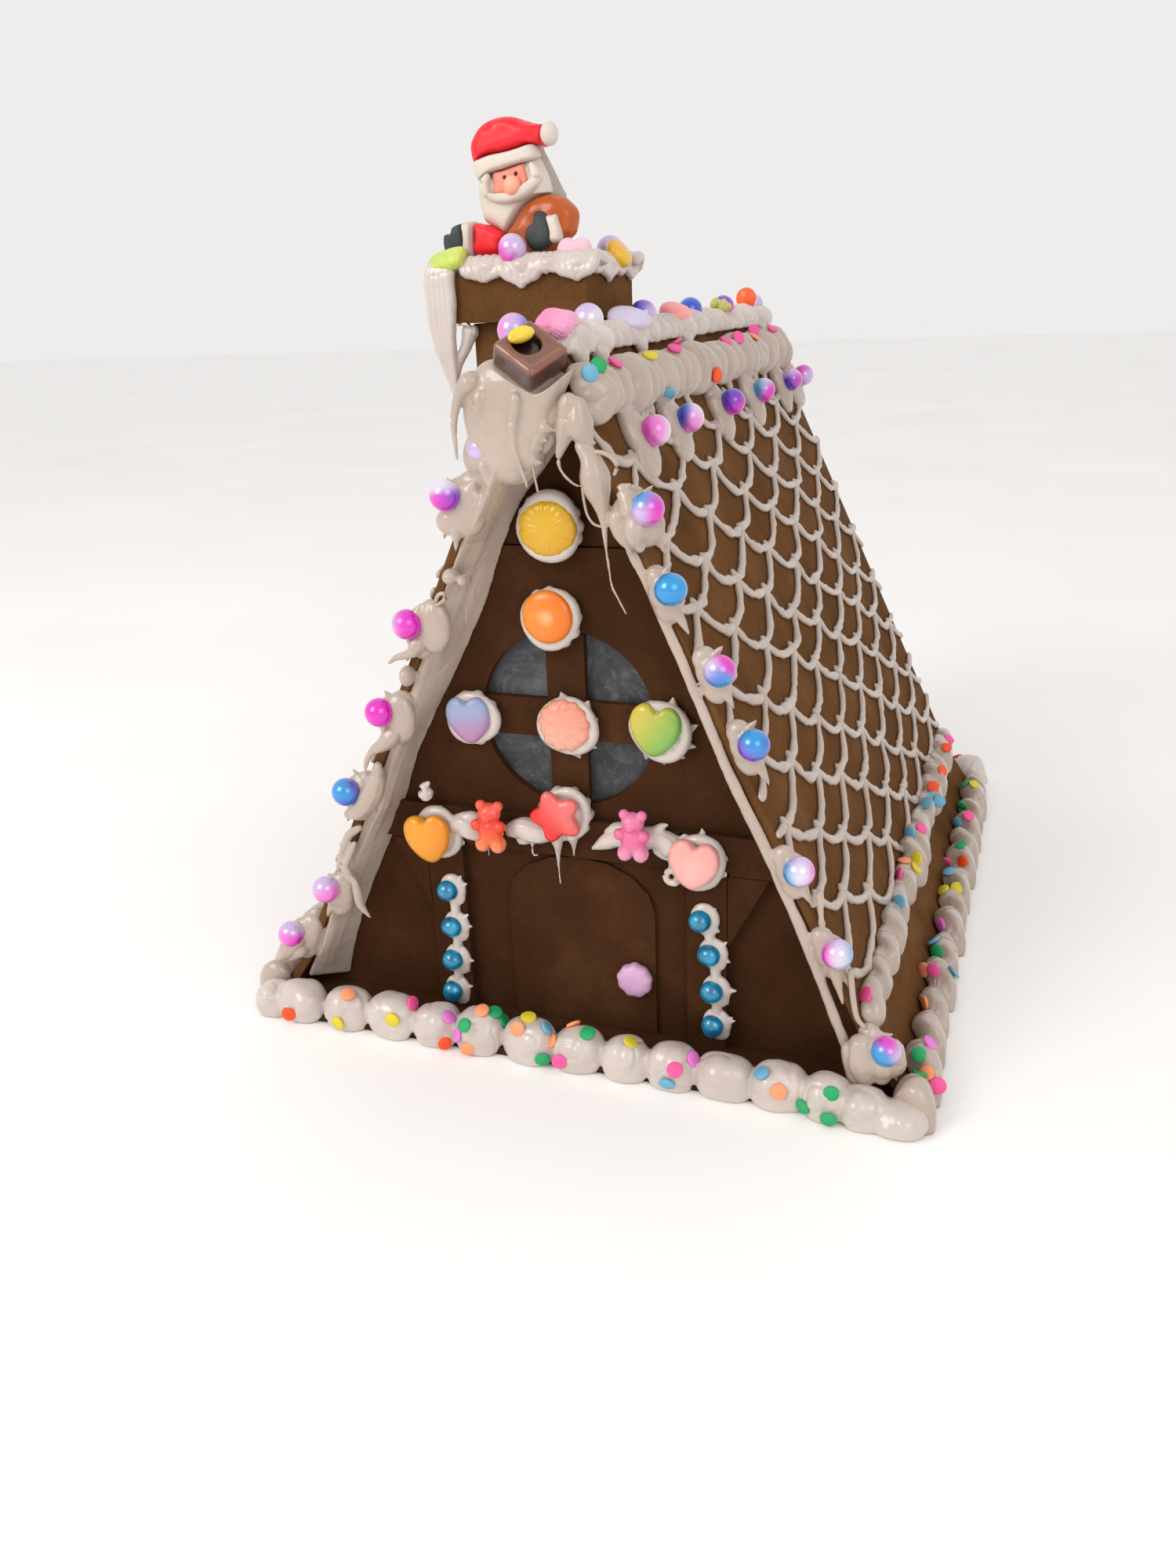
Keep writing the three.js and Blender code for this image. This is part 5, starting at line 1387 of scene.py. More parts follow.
def dollop(radius, height, lobes, seed, peaks=0.0):
    """A round cushion of icing with a fat smooth rim; with `peaks` its edge is drawn out into points."""
    rng = np.random.default_rng(seed)
    half = radius * DOLLOP_SIZE
    parts = [ellipsoid((0, 0, height * DOLLOP_HEIGHT), (half, half, height * 0.62))]
    turns = np.linspace(0, 2 * np.pi, 29)
    wobble = 1 + 0.04 * np.sin(2 * turns + seed) + 0.03 * np.sin(3 * turns + 2 * seed)
    reach = 0.79 * radius * wobble
    rim = np.stack([reach * np.cos(turns), reach * np.sin(turns), np.full(29, height * 0.62)], -1)
    parts.append(tube(rim, 0.22 * radius * wobble, 12, (0, 0, 1), 0.9))
    for k in range(lobes):
        a = 2 * np.pi * (k + rng.uniform(-0.2, 0.2)) / lobes

        def stop(share, turn, high):
            return share * radius * math.cos(a + turn), share * radius * math.sin(a + turn), height * high

        if not peaks:
            lobe = (0.22 * radius, 0.22 * radius, height * 0.5)
            parts.append(ellipsoid(stop(0.8, 0, DOLLOP_HEIGHT), lobe))
            continue
        size = rng.uniform(0.9, 1.06) + peaks * rng.uniform(0.0, 1.0)
        parts.append(string([(*stop(0.6, 0, 0.5), 0.26 * radius),
                             (*stop(0.82, 0.1, DOLLOP_HEIGHT), 0.2 * radius),
                             (*stop(size, 0.2, 0.3), 0.05 * radius)], 8))
    points, faces = iced(parts, 0.4, 4, seed, folds=0.05, fold_size=5, lumps=0.08, fine=0.01)
    points[:, 2] = np.maximum(points[:, 2], 0.0)
    return points, faces


def at_front(x, z, h):
    """A function that puts local points on the front wall."""
    return lambda points: on_front(points + [x, z, h])


# Name, middle, radius, lobes and peaks of each rosette.
ROSETTES = [("citrus_slice", -2.0, 185.2, 11.2, 14, 0.0), ("orange_ring", -3.0, 155.6, 10.4, 12, 0.0),
            ("blue_heart", -33.4, 119.4, 9.8, 10, 0.0), ("shell", 1.4, 119.4, 10.6, 8, 0.12),
            ("green_heart", 33.6, 120.4, 10.6, 11, 0.16)]
for k, (name, x, z, radius, lobes, peaks) in enumerate(ROSETTES):
    rosette = relaid(dollop(radius, 4.8, lobes, 200 + k, peaks), at_front(x, z, 0.3))
    piece(f"dollop_{name}", rosette, ICING, [f"rosette_{name}"])

ON_ROSETTE = 3.0


def sweet(name, outline, thickness, place, material, paint, groove=None, lumps=(0.08, 3.5)):
    """A sweet in the place of the CAD node of its name."""
    shape = domed(outline, thickness)
    if groove is not None:
        shape = relaid(shape, groove)
    points, faces = lumpy(shape, *lumps, len(name))
    piece(f"sweet_{name}", (place(points), faces), material, [name], paint(points))


def fanned(count, depth, hub=(0.0, 0.0), start=2.0):
    """Grooves that fan out from a hub."""
    def cut(points):
        away = points[:, :2] - hub
        angle = np.arctan2(away[:, 1], away[:, 0])
        reach = np.hypot(*away.T)
        points = points.copy()
        points[:, 2] -= depth * (0.5 + 0.5 * np.cos(count * angle)) * smoothstep(start, start + 3, reach)
        return points
    return cut


def dimpled(radius, depth, at=(0.0, 0.0)):
    """A soft dimple in the top."""
    def cut(points):
        points = points.copy()
        reach = np.hypot(*(points[:, :2] - at).T)
        points[:, 2] -= depth * (1 - smoothstep(radius * 0.6, radius * 1.5, reach)) * (points[:, 2] > 1.5)
        return points
    return cut


sweet("citrus_slice", ragged(round_outline(8.7), 0.015, 2.2, 31) * [1.12, 1.0], 4.2,
      at_front(-1.9, 184.9, ON_ROSETTE), GUMMY,
      fade((0.4, -0.9, 0), (236, 190, 6), (226, 172, 2)), fanned(20, 0.32))
sweet("orange_ring", round_outline(8.7), 5, at_front(-3.2, 156.8, ON_ROSETTE), GUMMY,
      spotted(fade((1, 0, 0), (252, 142, 10), (248, 124, 4)), (236, 192, 132), 1.9), dimpled(1.5, 1.4))
sweet("blue_heart", heart(16.6, 0.1), 5, at_front(-34.1, 119.4, ON_ROSETTE), SATIN,
      fade((0.2, -1, 0), (146, 160, 194), (176, 128, 172), -0.2, 0.4))
sweet("shell", ragged(round_outline(9.2, 13, 0.02), 0.02, 3, 32), 5, at_front(0.8, 120.2, ON_ROSETTE),
      GUMMY, fade((-0.5, -1, 0), (244, 158, 134), (246, 182, 160)),
      fanned(15, 0.9, (-3.5, 3.5), 1.0))
sweet("green_heart", heart(17.8, -0.12), 5, at_front(32.2, 121.2, ON_ROSETTE), GUMMY,
      fade((0.8, -0.6, 0), (216, 196, 70), (128, 192, 84)))


# ------------------------------------------------------------------ lintel icing and its sweets
LINTEL_LOW, LINTEL_HIGH = 71.0, 85.8


def lintel_icing(dollops, strokes, seed):
    """Dollops and strokes of icing on the lintel, in the photo's own outlines, laid on the timber."""
    parts = [relaid(dollop(radius, 7.0, 10, seed + k, peaks), at_front(x, z, 0.3))
             for k, (x, z, radius, peaks) in enumerate(dollops)]
    parts += strokes_of(strokes)
    points, faces = iced(parts, 0.4, 2, seed, folds=0.1, fold_size=6, lumps=0.1)
    on_timber = (points[:, 2] > LINTEL_LOW) & (points[:, 2] < LINTEL_HIGH)
    out = np.where(on_timber, SLAT_FACE + 0.3, 0.3)
    points[:, 1] = np.minimum(points[:, 1], -WALL_Y - out)
    return points, faces


SMEAR_Y = -WALL_Y - SLAT_FACE - 1.4
LEFT_SMEARS = [
    ([(578, 1052, 3.0), (590, 1050, 4.2), (602, 1056, 4.6), (612, 1062, 3.6)], SMEAR_Y),
    ([(590, 1044, 2.6), (604, 1042, 2.2), (612, 1048, 2.0)], SMEAR_Y),
    ([(655, 1058, 3.2), (668, 1056, 4.2), (680, 1060, 4.4), (692, 1062, 4.0)], SMEAR_Y),
    ([(667, 1070, 2.4), (676, 1066, 2.8)], SMEAR_Y),
    ([(706, 1060, 3.4), (711, 1074, 2.0), (712, 1090, 0.9), (713, 1108, 0.5), (715, 1127, 0.35)],
     (-136.5, -136, -134.5, -133, -131.5)),
    ([(730, 1066, 2.4), (732, 1078, 1.0), (732, 1091, 0.35)], (-136, -135, -133)),
    ([(681, 1070, 1.0), (679, 1080, 0.5), (681, 1091, 0.4), (686, 1090, 0.35)],
     (-135.5, -135, -134.5, -134.5)),
    ([(622, 1072, 1.0), (623, 1082, 0.4), (624, 1092, 0.3)], (-135, -134, -133.5)),
    ([(543, 1012, 3.0), (541, 1004, 2.0), (546, 999, 0.9)], -136)]
RIGHT_SMEARS = [
    ([(800, 1068, 4.0), (786, 1068, 3.6), (774, 1073, 3.0), (764, 1078, 1.8), (756, 1082, 0.6)], SMEAR_Y),
    ([(796, 1058, 3.0), (784, 1057, 2.2), (774, 1060, 1.0)], SMEAR_Y),
    ([(822, 1070, 4.0), (834, 1068, 3.8), (846, 1072, 4.0), (858, 1080, 4.4)], SMEAR_Y),
    ([(838, 1060, 2.2), (845, 1054, 1.4), (852, 1052, 0.5)], SMEAR_Y),
    ([(840, 1084, 2.2), (846, 1092, 1.3), (853, 1097, 0.5)], SMEAR_Y),
    ([(863, 1112, 1.4), (855, 1110, 1.2), (849, 1117, 1.2), (853, 1125, 1.2), (861, 1126, 1.4)], -136)]

piece("lintel_dabs_left", lintel_icing([(-50.0, 75.2, 9.8, 0.1), (-0.6, 88.0, 9.8, 0.0)], LEFT_SMEARS, 300),
      ICING, ["lintel_icing_left"])
piece("lintel_dabs_right", lintel_icing([(46.0, 75.6, 10.2, 0.2)], RIGHT_SMEARS, 320),
      ICING, ["lintel_icing_right"])

ON_DOLLOP, ON_SMEAR, ON_DOOR = 7.4, 6.6, 1.8
sweet("star", round_outline(9.6, 5, 0.15, 0.38), 4.5, at_front(-2.2, 88.6, ON_DOLLOP), GUMMY,
      fade((0.75, 0.65, 0), (240, 26, 22), (240, 116, 112), -0.3, 0.3))
sweet("orange_heart", heart(18.4, 0.15), 5, at_front(-51.8, 74.6, ON_DOLLOP), GUMMY,
      spotted(fade((1, -0.4, 0), (244, 166, 14), (240, 150, 10)), (238, 206, 130), 2.0, (0, -0.5)),
      dimpled(1.3, 1.4, (0, -0.5)))
sweet("pink_heart", heart(17.6, -0.1), 5, at_front(46.0, 76.8, ON_DOLLOP), SATIN,
      spotted(fade((0, -1, 0), (240, 162, 156), (240, 174, 168)), (232, 206, 200), 2.2, (0, -0.5)),
      dimpled(1.3, 1.4, (0, -0.5)))
sweet("door_knob", ragged(round_outline(6.6, 9, 0.03), 0.015, 2.5, 33), 5, at_front(22.6, 26.2, ON_DOOR),
      SATIN, fade((0, -1, 0), (212, 168, 204), (202, 156, 196)))


# Middle and radii of each part of a bear one high. Those off its middle line are made on both sides.
BEAR_MIDDLE = [((0, -0.08, 0.2), (0.25, 0.29, 0.2)), ((0, 0.27, 0.22), (0.22, 0.2, 0.2)),
               ((0, 0.22, 0.37), (0.1, 0.085, 0.09))]
BEAR_SIDES = [((0.17, 0.41, 0.2), (0.1, 0.1, 0.1)), ((0.23, 0.05, 0.3), (0.12, 0.11, 0.12)),
              ((0.15, -0.34, 0.24), (0.15, 0.16, 0.18)), ((0.08, 0.31, 0.39), (0.03, 0.03, 0.03))]


def bear(name, height, gradient, place):
    """A gummy bear on its back. `gradient` has (place from feet to ears, colour) stops."""
    stops = BEAR_MIDDLE + [((side * x, y, z), radii) for side in (-1, 1) for (x, y, z), radii in BEAR_SIDES]
    parts = [ellipsoid(np.multiply(at, height), np.multiply(radii, height)) for at, radii in stops]
    points, faces = one_skin(parts, 0.3)
    points[:, 2] = np.maximum(points[:, 2], 0.0)
    points, faces = lumpy((points, faces), 0.05, 1.2, 7)
    values = points[:, 1] / height + 0.5
    tints = np.array([rgb(*tint) for _, tint in gradient])
    colours = np.stack([np.interp(values, [at for at, _ in gradient], tint) for tint in tints.T], -1)
    piece(f"sweet_{name}", (place(points), faces), GUMMY, [name], colours)


bear("red_bear", 18.8, [(0.05, (246, 156, 118)), (0.3, (244, 110, 44)), (0.55, (244, 66, 40)),
                        (0.95, (248, 96, 72))], at_front(-26.4, 82.8, ON_SMEAR))
bear("pink_bear", 18, [(0.05, (238, 172, 198)), (0.4, (236, 106, 160)), (0.95, (240, 128, 174))],
     at_front(25.6, 85.4, ON_SMEAR))


# ------------------------------------------------------------------ blue beads down the posts
BEADS = {"left": [(-47.5, 53), (-47.2, 38), (-47.8, 24), (-49, 10.5)],
         "right": [(47.3, 54.6), (50.3, 41.8), (51.4, 27.5), (51.6, 14)]}
BEAD_RADIUS = 4.0
BEAD_H = SLAT_FACE + 2.8
PAD_H = SLAT_FACE + 0.8


def bead_strip(name, seed):
    """A plump pad under each bead, joined by necks, with a few tiny burrs."""
    rng = np.random.default_rng(seed)
    parts = []
    beads = BEADS[name]
    for k, (x, z) in enumerate(beads):
        parts.append(ellipsoid((x + 1.1, z, PAD_H), (5.2, 6.0, 2.4)))
        parts.append(ellipsoid((x + 2.2, z - 3, PAD_H), (3.6, 3.8, 1.9)))
        for _ in range(3):
            a = rng.uniform(-1.4, 1.2)
            reach = rng.uniform(5.8, 7.0)
            parts.append(string([(x + 1 + 4.2 * math.cos(a), z + 4.4 * math.sin(a), PAD_H, 1.3),
                                 (x + 1 + reach * math.cos(a), z + reach * math.sin(a), PAD_H - 0.2, 0.35)]))
        if k + 1 < len(beads):
            next_x, next_z = beads[k + 1]
            neck = ((x + next_x) / 2 + 1.2, (z + next_z) / 2, PAD_H - 0.1, 1.9)
            parts.append(string([(x + 1, z, PAD_H, 2.6), neck, (next_x + 0.8, next_z, PAD_H, 2.6)]))
    points, faces = iced(parts, 0.35, 3, seed, folds=0.06, fold_size=4, lumps=0.08)
    points[:, 2] = np.maximum(points[:, 2], SLAT_FACE + 0.05)
    return on_front(points), faces


def blue_beads(name):
    """Bumpy beads of mixed blues, and their colours."""
    shapes, tints = [], []
    for k, (x, z) in enumerate(BEADS[name]):
        points, faces = unit_ball(4)
        bumpy = points * (BEAD_RADIUS + 0.16 * waves(points * BEAD_RADIUS, 3.5, 410 + k)[:, None])
        share = (0.5 + 0.5 * waves(points * BEAD_RADIUS, 2.5, 420 + k))[:, None]
        tints.append(rgb(0, 108, 146) * (1 - share) + rgb(0, 150, 194) * share)
        shapes.append((on_front(bumpy + [x, z, BEAD_H]), [faces]))
    return merged(shapes), np.concatenate(tints)


for name, seed in (("left", 401), ("right", 402)):
    piece(f"post_strip_{name}", bead_strip(name, seed), ICING, [f"post_icing_{name}"])
    shape, colours = blue_beads(name)
    piece(f"blue_beads_{name}", shape, PEARL, colours=colours)


# ------------------------------------------------------------------ sweets on the ridge and the rim
RIDGE_REST, RIM_REST = 245.8, 266.5
TOP_LUMPS = (0.07, 3)


def tilted(at, to_side, to_front):
    """A function that leans local points towards +X and towards the front, and puts them at a place."""
    turn = turned((1, 0, 0), to_front) @ turned((0, 1, 0), to_side)
    return lambda points: points @ turn.T + np.asarray(at, float)


sweet("ridge_pink_gummy", ragged(bar_outline(6.0, 6.4), 0.02, 1.8, 34), 5.6,
      tilted((-0.6, -122.5, RIDGE_REST - 3.6), 0.2, 0.3), SUGARED,
      fade((1, 0, 0), (244, 140, 186), (248, 166, 204)), lumps=TOP_LUMPS)
sweet("ridge_lilac_disc", round_outline(7.6), 4.6, tilted((1.8, -61, RIDGE_REST - 3.6), 0.3, 0.25), SATIN,
      fade((1, 0, 0), (190, 182, 208), (206, 196, 220)), lumps=TOP_LUMPS)
sweet("ridge_coral_drop", round_outline(6.4), 5.6, tilted((1.8, -5, RIDGE_REST - 3.8), 0.35, 0.2), SATIN,
      fade((1, 0, 0), (248, 140, 142), (250, 158, 160)), lumps=TOP_LUMPS)
bear("ridge_bear", 13, [(0.1, (196, 200, 96)), (0.9, (218, 200, 84))],
     tilted((1.2, 66, RIDGE_REST - 3.0), 0.4, 0.0))
sweet("rim_lime_gummy", ragged(bar_outline(8.0, 4.4), 0.02, 1.8, 35), 4.6,
      tilted((-61.5, -68.0, RIM_REST - 3.2), -0.28, 0.7), SUGARED,
      fade((1, 0, 0), (190, 214, 84), (206, 222, 104)), lumps=TOP_LUMPS)
sweet("rim_pink_heart", heart(12.6), 4.6, tilted((-16.4, -62.4, RIM_REST - 2.7), 0.1, 1.0), SATIN,
      fade((0, 1, 0), (228, 178, 198), (232, 194, 208)), lumps=TOP_LUMPS)
sweet("rim_yellow_disc", round_outline(5.4), 4.6, tilted((-10.2, -37.5, RIM_REST - 2.2), 0.9, 0.15), GUMMY,
      fade((1, 0, 0), (244, 180, 30), (248, 196, 44)), lumps=TOP_LUMPS)

points, faces = domed(round_outline(4.8), 3.4)
standing = np.stack([points[:, 0], points[:, 2] + 124 - 1.7, points[:, 1] + RIDGE_TOP + 2.6], -1)
piece("sweet_standing_disc", (standing, faces), SATIN,
      colours=fade((1, 0, 0), (250, 104, 30), (246, 88, 20))(points))


# ------------------------------------------------------------------ chocolate at the apex
def chocolate():
    """A soft-edged square with a dimple, and its colours, with painted shade on its sides and in the dimple
    and a painted highlight along the top's rim.
    """
    points, faces = one_skin([rounded_box(-CHOCOLATE_HALF, CHOCOLATE_HALF, 1.6, 4)], 0.35)
    top = smoothstep(1.8, 3.2, points[:, 2])
    hollow = (1 - smoothstep(3.7, 4.7, np.hypot(points[:, 0] + 0.1, points[:, 1] - 1.6))) * top
    points[:, 2] -= 2.2 * hollow
    rim = smoothstep(5.4, 6.6, np.abs(points[:, :2]).max(1))
    points[:, 2] += 0.35 * rim * top
    points, faces = lumpy((points, faces), 0.08, 3.5, 501)
    # Painted light and shade: the top lighter and the sides darker, a painted highlight along the top's rim
    # and painted shade in the dimple.
    lit_top, side, dark, edge = rgb(122, 76, 60), rgb(78, 46, 38), rgb(34, 20, 17), rgb(142, 92, 74)
    colours = side + (lit_top - side) * (smoothstep(2.2, 3.6, points[:, 2]))[:, None]
    colours = colours + (edge - colours) * (0.6 * rim * smoothstep(2.4, 3.7, points[:, 2]))[:, None]
    colours = colours + (dark - colours) * smoothstep(0.1, 0.5, hollow)[:, None]
    return relaid((points, faces), on_chocolate), colours


def bean():
    """A yellow bean with three grooves, lying in the dimple's back edge, and its colours."""
    points, faces = ellipsoid((0, 0, 0), (4.4, 2.5, 2.0), level=4)
    for groove in (-0.9, 0.0, 0.9):
        points[:, 2] -= 0.35 * np.exp(-((points[:, 1] - groove) / 0.28) ** 2) * (points[:, 2] > 0)
    # Darker below and lighter on top: painted shade and painted light.
    colours = fade((0.2, 0.3, 1), (206, 160, 24), (244, 216, 48))(points)
    points = points @ turned((0, 0, 1), -0.21).T + [0.3, 4.3, 4.8]
    return relaid((points, faces), on_chocolate), colours


shape, colours = chocolate()
piece("chocolate_square", shape, GLOSSY, ["chocolate"], colours)
shape, colours = bean()
piece("chocolate_bean", shape, GLOSSY, colours=colours)


# ------------------------------------------------------------------ Santa
def clay(shapes, voxel, seed, lumps=0.12):
    points, faces = lumpy(one_skin(shapes, voxel), lumps, 3.5, seed)
    points[:, 2] = np.maximum(points[:, 2], RIM_REST - 1.5)
    return points, faces


# Outlines of the figure's parts as (px, py) in the photo's frame.
HAT = [(607.3, 208.5), (604.4, 198.9), (603.5, 188.7), (605.4, 178.4), (610.5, 168.1), (619.3, 159.3),
       (631.1, 152.7), (645.7, 148.8), (658.9, 149.8), (672.1, 154.2), (683.9, 157.6), (692.7, 158.6),
       (697.8, 160.1), (702.9, 172.5), (701.5, 183.5), (692.7, 184.9), (680.9, 184.6), (666.3, 189.4),
       (648.7, 194.5), (631.1, 198.2), (619.3, 202.2), (612, 205.5)]
BRIM = [(607.3, 207.7), (612, 205.1), (619.3, 201.9), (631.1, 197.9), (648.7, 194.2), (666.3, 189.1),
        (680.9, 184.6), (685.3, 186.9), (689, 193.1), (690.6, 198.6), (687.5, 202.2), (680.9, 204.8),
        (669.9, 208.5), (657.5, 212.1), (644.3, 216.5), (629.6, 220.9), (620.8, 225.6), (613.2, 231.5),
        (609.8, 226.1), (606.9, 215.1)]
BEARD = [(614.9, 231.2), (613.5, 239.3), (614.1, 250.3), (615.7, 262), (618.6, 272.3), (622, 283.3),
         (632.5, 289.1), (640.6, 294.3), (647.9, 298.7), (654.5, 289.9), (663.3, 274.5), (672.1, 262.7),
         (680.9, 255), (692.7, 249.1), (701.5, 247), (706.9, 245.6), (705.1, 237.8), (701.5, 226.8),
         (697.1, 216.5), (692.7, 207.7), (688.3, 201.1), (672.1, 206.3), (648.7, 215.1), (628.1, 223.9)]
FACE = [(629.9, 220.9), (641.3, 218), (656, 213), (669.6, 208.5), (672.9, 216.5), (675.4, 226.8),
        (675.8, 234.1), (669.9, 242.2), (663.3, 248.8), (653.1, 251), (641.3, 249.1), (632.2, 248.2),
        (631.5, 235.6)]
MOUSTACHE = [(619, 245.1), (624.5, 249.5), (634, 248.2), (645.7, 247.3), (653.1, 249.5), (657.5, 252),
             (664.1, 248.5), (669.9, 242.2), (678, 233.8), (685.3, 226.1), (691.9, 219.5), (691.9, 228.3),
             (685.3, 240.7), (677.3, 248.8), (667.7, 255.8), (658.9, 259.1), (647.2, 260.8), (634, 259.8),
             (625.2, 256.1), (620.1, 251)]
LEFT_HAIR = [(621, 226, 1.4), (617.5, 236, 1.9), (620, 246, 1.6)]
RIGHT_HAIR = [(678, 211, 1.2), (682.5, 221, 1.9), (681.5, 232, 1.8), (674, 240, 1.2)]
BOBBLE_AT, NOSE_AT = (700.6, 170.2), (653.2, 236.8)
EYES_AT = [(643.4, 226.1), (657.8, 221.2)]
BACK = [(680, 186), (691.2, 184.6), (695.6, 194.5), (704.4, 212.1), (711.7, 226.8), (719.8, 243.7),
        (722.7, 251.7), (723, 300), (700, 326), (640, 326), (628, 280), (640, 215)]
SACK = [(647.9, 300.9), (654.5, 291.3), (663.3, 276.7), (672.1, 263.5), (683.9, 253.5), (695.6, 249.1),
        (707.3, 248.2), (719.1, 250.3), (729.3, 257.3), (736.7, 266.4), (739.3, 276.7), (737.8, 288.4),
        (734.5, 298.7), (726.4, 305.3), (716.4, 312.6), (707.3, 325.1), (683.9, 325.8), (672.1, 319.2),
        (658.9, 306)]
MITTEN_RIGHT = [(683.6, 271.1), (687.5, 268.2), (695.6, 270.1), (700.7, 276.7), (704.4, 288.4),
                (705.3, 300.1), (704.4, 311.1), (697.1, 318), (685.3, 320.7), (677.7, 317),
                (672.9, 308.9), (671.8, 298.7),
                (676.2, 289.1), (682.4, 285.5), (684.2, 278.1)]
CUFF_RIGHT = [(699.7, 275.2), (705.9, 274), (711.7, 273.2), (714.1, 282.5), (717.6, 294.3), (718, 305.3),
              (714.7, 309.2), (705.3, 309.2), (705, 298.7), (702.9, 286.9)]
ARM = [(609.4, 285.5), (619.3, 286.1), (629.6, 288.4), (638.4, 293.5), (648.4, 300.6), (646.5, 311.9),
       (641.3, 325.8), (610.2, 325.8), (609.4, 306)]
CUFF_LEFT = [(597.3, 284.3), (603.2, 282.2), (609.1, 283.7), (610.4, 291.3), (610.1, 306), (609.5, 325.8),
             (599.4, 326.5), (600.3, 313.3), (599.1, 295.7)]
MITTEN_LEFT = [(571.5, 302), (582, 298), (584.3, 289.5), (592.6, 285.3), (598, 285.5), (600.5, 296),
               (600, 326), (575, 326)]


def figure(outline, front, depth, power=0.4, behind=0.0):
    """A cushion whose widest contour is the outline, with a smaller one behind it as its body."""
    edge = np.array(drawn_outline(outline, front + 0.85 * depth))
    parts = [cushion(edge, front, depth, power)]
    if behind:
        centre = edge.mean(0)
        body = centre + (edge - centre) * 0.85 - [2, 0]
        parts.append(cushion(body, front + depth * 0.5, behind, 0.3))
    return parts


def ball(at, y, radii):
    x, _, z = on_plane(*at, y)
    return ellipsoid((x, y, z), radii)


def hat():
    """The hat, with the small dent of its crown."""
    points, faces = clay(figure(HAT, -60.0, 8, 0.42, 14), 0.4, 601, 0.08)
    x, _, z = on_plane(622, 163, -58)
    dent = np.exp(-(((points[:, 0] - x) / 1.7) ** 2 + ((points[:, 2] - z) / 0.9) ** 2))
    points[:, 1] += 1.1 * dent * (points[:, 1] < -54)
    return points, faces


beard = figure(BEARD, -58.4, 7, 0.28, 11) + [string(drawn(path, -59.6)) for path in (LEFT_HAIR, RIGHT_HAIR)]
piece("santa_hat", hat(), CLAY_RED, ["santa"])
piece("santa_brim", clay(figure(BRIM, -61.6, 7, 0.33, 13), 0.35, 602, 0.08), CLAY_CREAM)
piece("santa_bobble", clay([ball(BOBBLE_AT, -60.0, (3.07, 3.2, 3.83))], 0.3, 603), CLAY_CREAM)
piece("santa_beard", clay(beard, 0.35, 604, 0.1), CLAY_CREAM)
piece("santa_face", clay(figure(FACE, -59.3, 3, 0.16, 5), 0.3, 605, 0.04), CLAY_SKIN)
piece("santa_moustache", clay(figure(MOUSTACHE, -61.6, 4.5, 0.45), 0.3, 606, 0.06), CLAY_CREAM)
piece("santa_nose", clay([ball(NOSE_AT, -60.6, (3.15, 2.9, 3.35))], 0.25, 607, 0.03), CLAY_PEACH)
piece("santa_eyes", merged([ball(at, -59.3, (0.68, 0.5, 0.68)) for at in EYES_AT]), CLAY_BLACK)
# The figure's side behind the beard and hair, in cream clay painted grey as painted shade.
piece("santa_back", clay(figure(BACK, -54.0, 7, 0.35, 9), 0.5, 608), CLAY_SHADED_CREAM)
piece("santa_sack", clay(figure(SACK, -60.6, 8, 0.42, 10), 0.4, 609), CLAY_SACK)
piece("santa_mittens", clay(figure(MITTEN_RIGHT, -64.0, 5) + figure(MITTEN_LEFT, -62.5, 8), 0.3, 610),
      CLAY_GREY)
cuffs = figure(CUFF_RIGHT, -63.6, 5, 0.3) + figure(CUFF_LEFT, -63.2, 9, 0.3)
piece("santa_cuffs", clay(cuffs, 0.3, 611, 0.06), CLAY_CREAM)
piece("santa_arm", clay(figure(ARM, -61.4, 7, 0.35, 10), 0.35, 612), CLAY_RED)


# ------------------------------------------------------------------ confetti
CONFETTI_TINTS = {"o": rgb(250, 84, 26), "a": rgb(250, 158, 110), "v": rgb(232, 124, 216),
                  "k": rgb(246, 90, 160), "g": rgb(30, 168, 100), "y": rgb(224, 206, 50),
                  "b": rgb(110, 178, 210)}


DISC_RADIUS, DISC_THICKNESS, DISC_SIDES = 2.75, 1.1, 16
DISC_PROFILE = ((0.88, 0.0), (1.0, 0.2), (1.0, 0.75), (0.9, 1.0))


def confetti_disc(rng, place, normal, tint):
    """A small bent disc lying nearly flat on the surface, and its colours."""
    radius = DISC_RADIUS * rng.uniform(0.92, 1.05)
    a = 2 * np.pi * np.arange(DISC_SIDES) / DISC_SIDES
    points, faces = loft([np.stack([scale * radius * np.cos(a), scale * radius * np.sin(a),
                                    np.full(DISC_SIDES, z * DISC_THICKNESS)], -1)
                          for scale, z in DISC_PROFILE])
    points[:, 2] += rng.uniform(-0.03, 0.06) * (points[:, 0] ** 2 - 2)
    tilt = normal + rng.normal(0, 0.22, 3)
    up = tilt / np.linalg.norm(tilt)
    side = np.cross(up, [0.3, 0.5, 0.81])
    side /= np.linalg.norm(side)
    turn = np.stack([side, np.cross(up, side), up], 1)
    points = points @ turned((0, 0, 1), rng.uniform(0, 6)).T @ turn.T + place
    return (points, faces), np.tile(tint, (len(points), 1))


def confetti_piece(name, carriers, lines, seed):
    """Discs on the carriers where lines (start, way, tint) first meet them. A line may miss them."""
    rng = np.random.default_rng(seed)
    tree = tree_of(carriers)
    made = []
    for start, way, tint in lines:
        hit = first_hit(tree, start, way)
        if hit is not None:
            made.append(confetti_disc(rng, *hit, CONFETTI_TINTS[tint]))
    piece(name, merged([shape for shape, _ in made]), CONFETTI,
          colours=np.concatenate([colours for _, colours in made]))


def seen(places):
    """Lines from the camera's place through points of the photo's frame: (tint, px, py)."""
    return [(CAMERA_AT, line_through(px, py), tint) for tint, px, py in places]


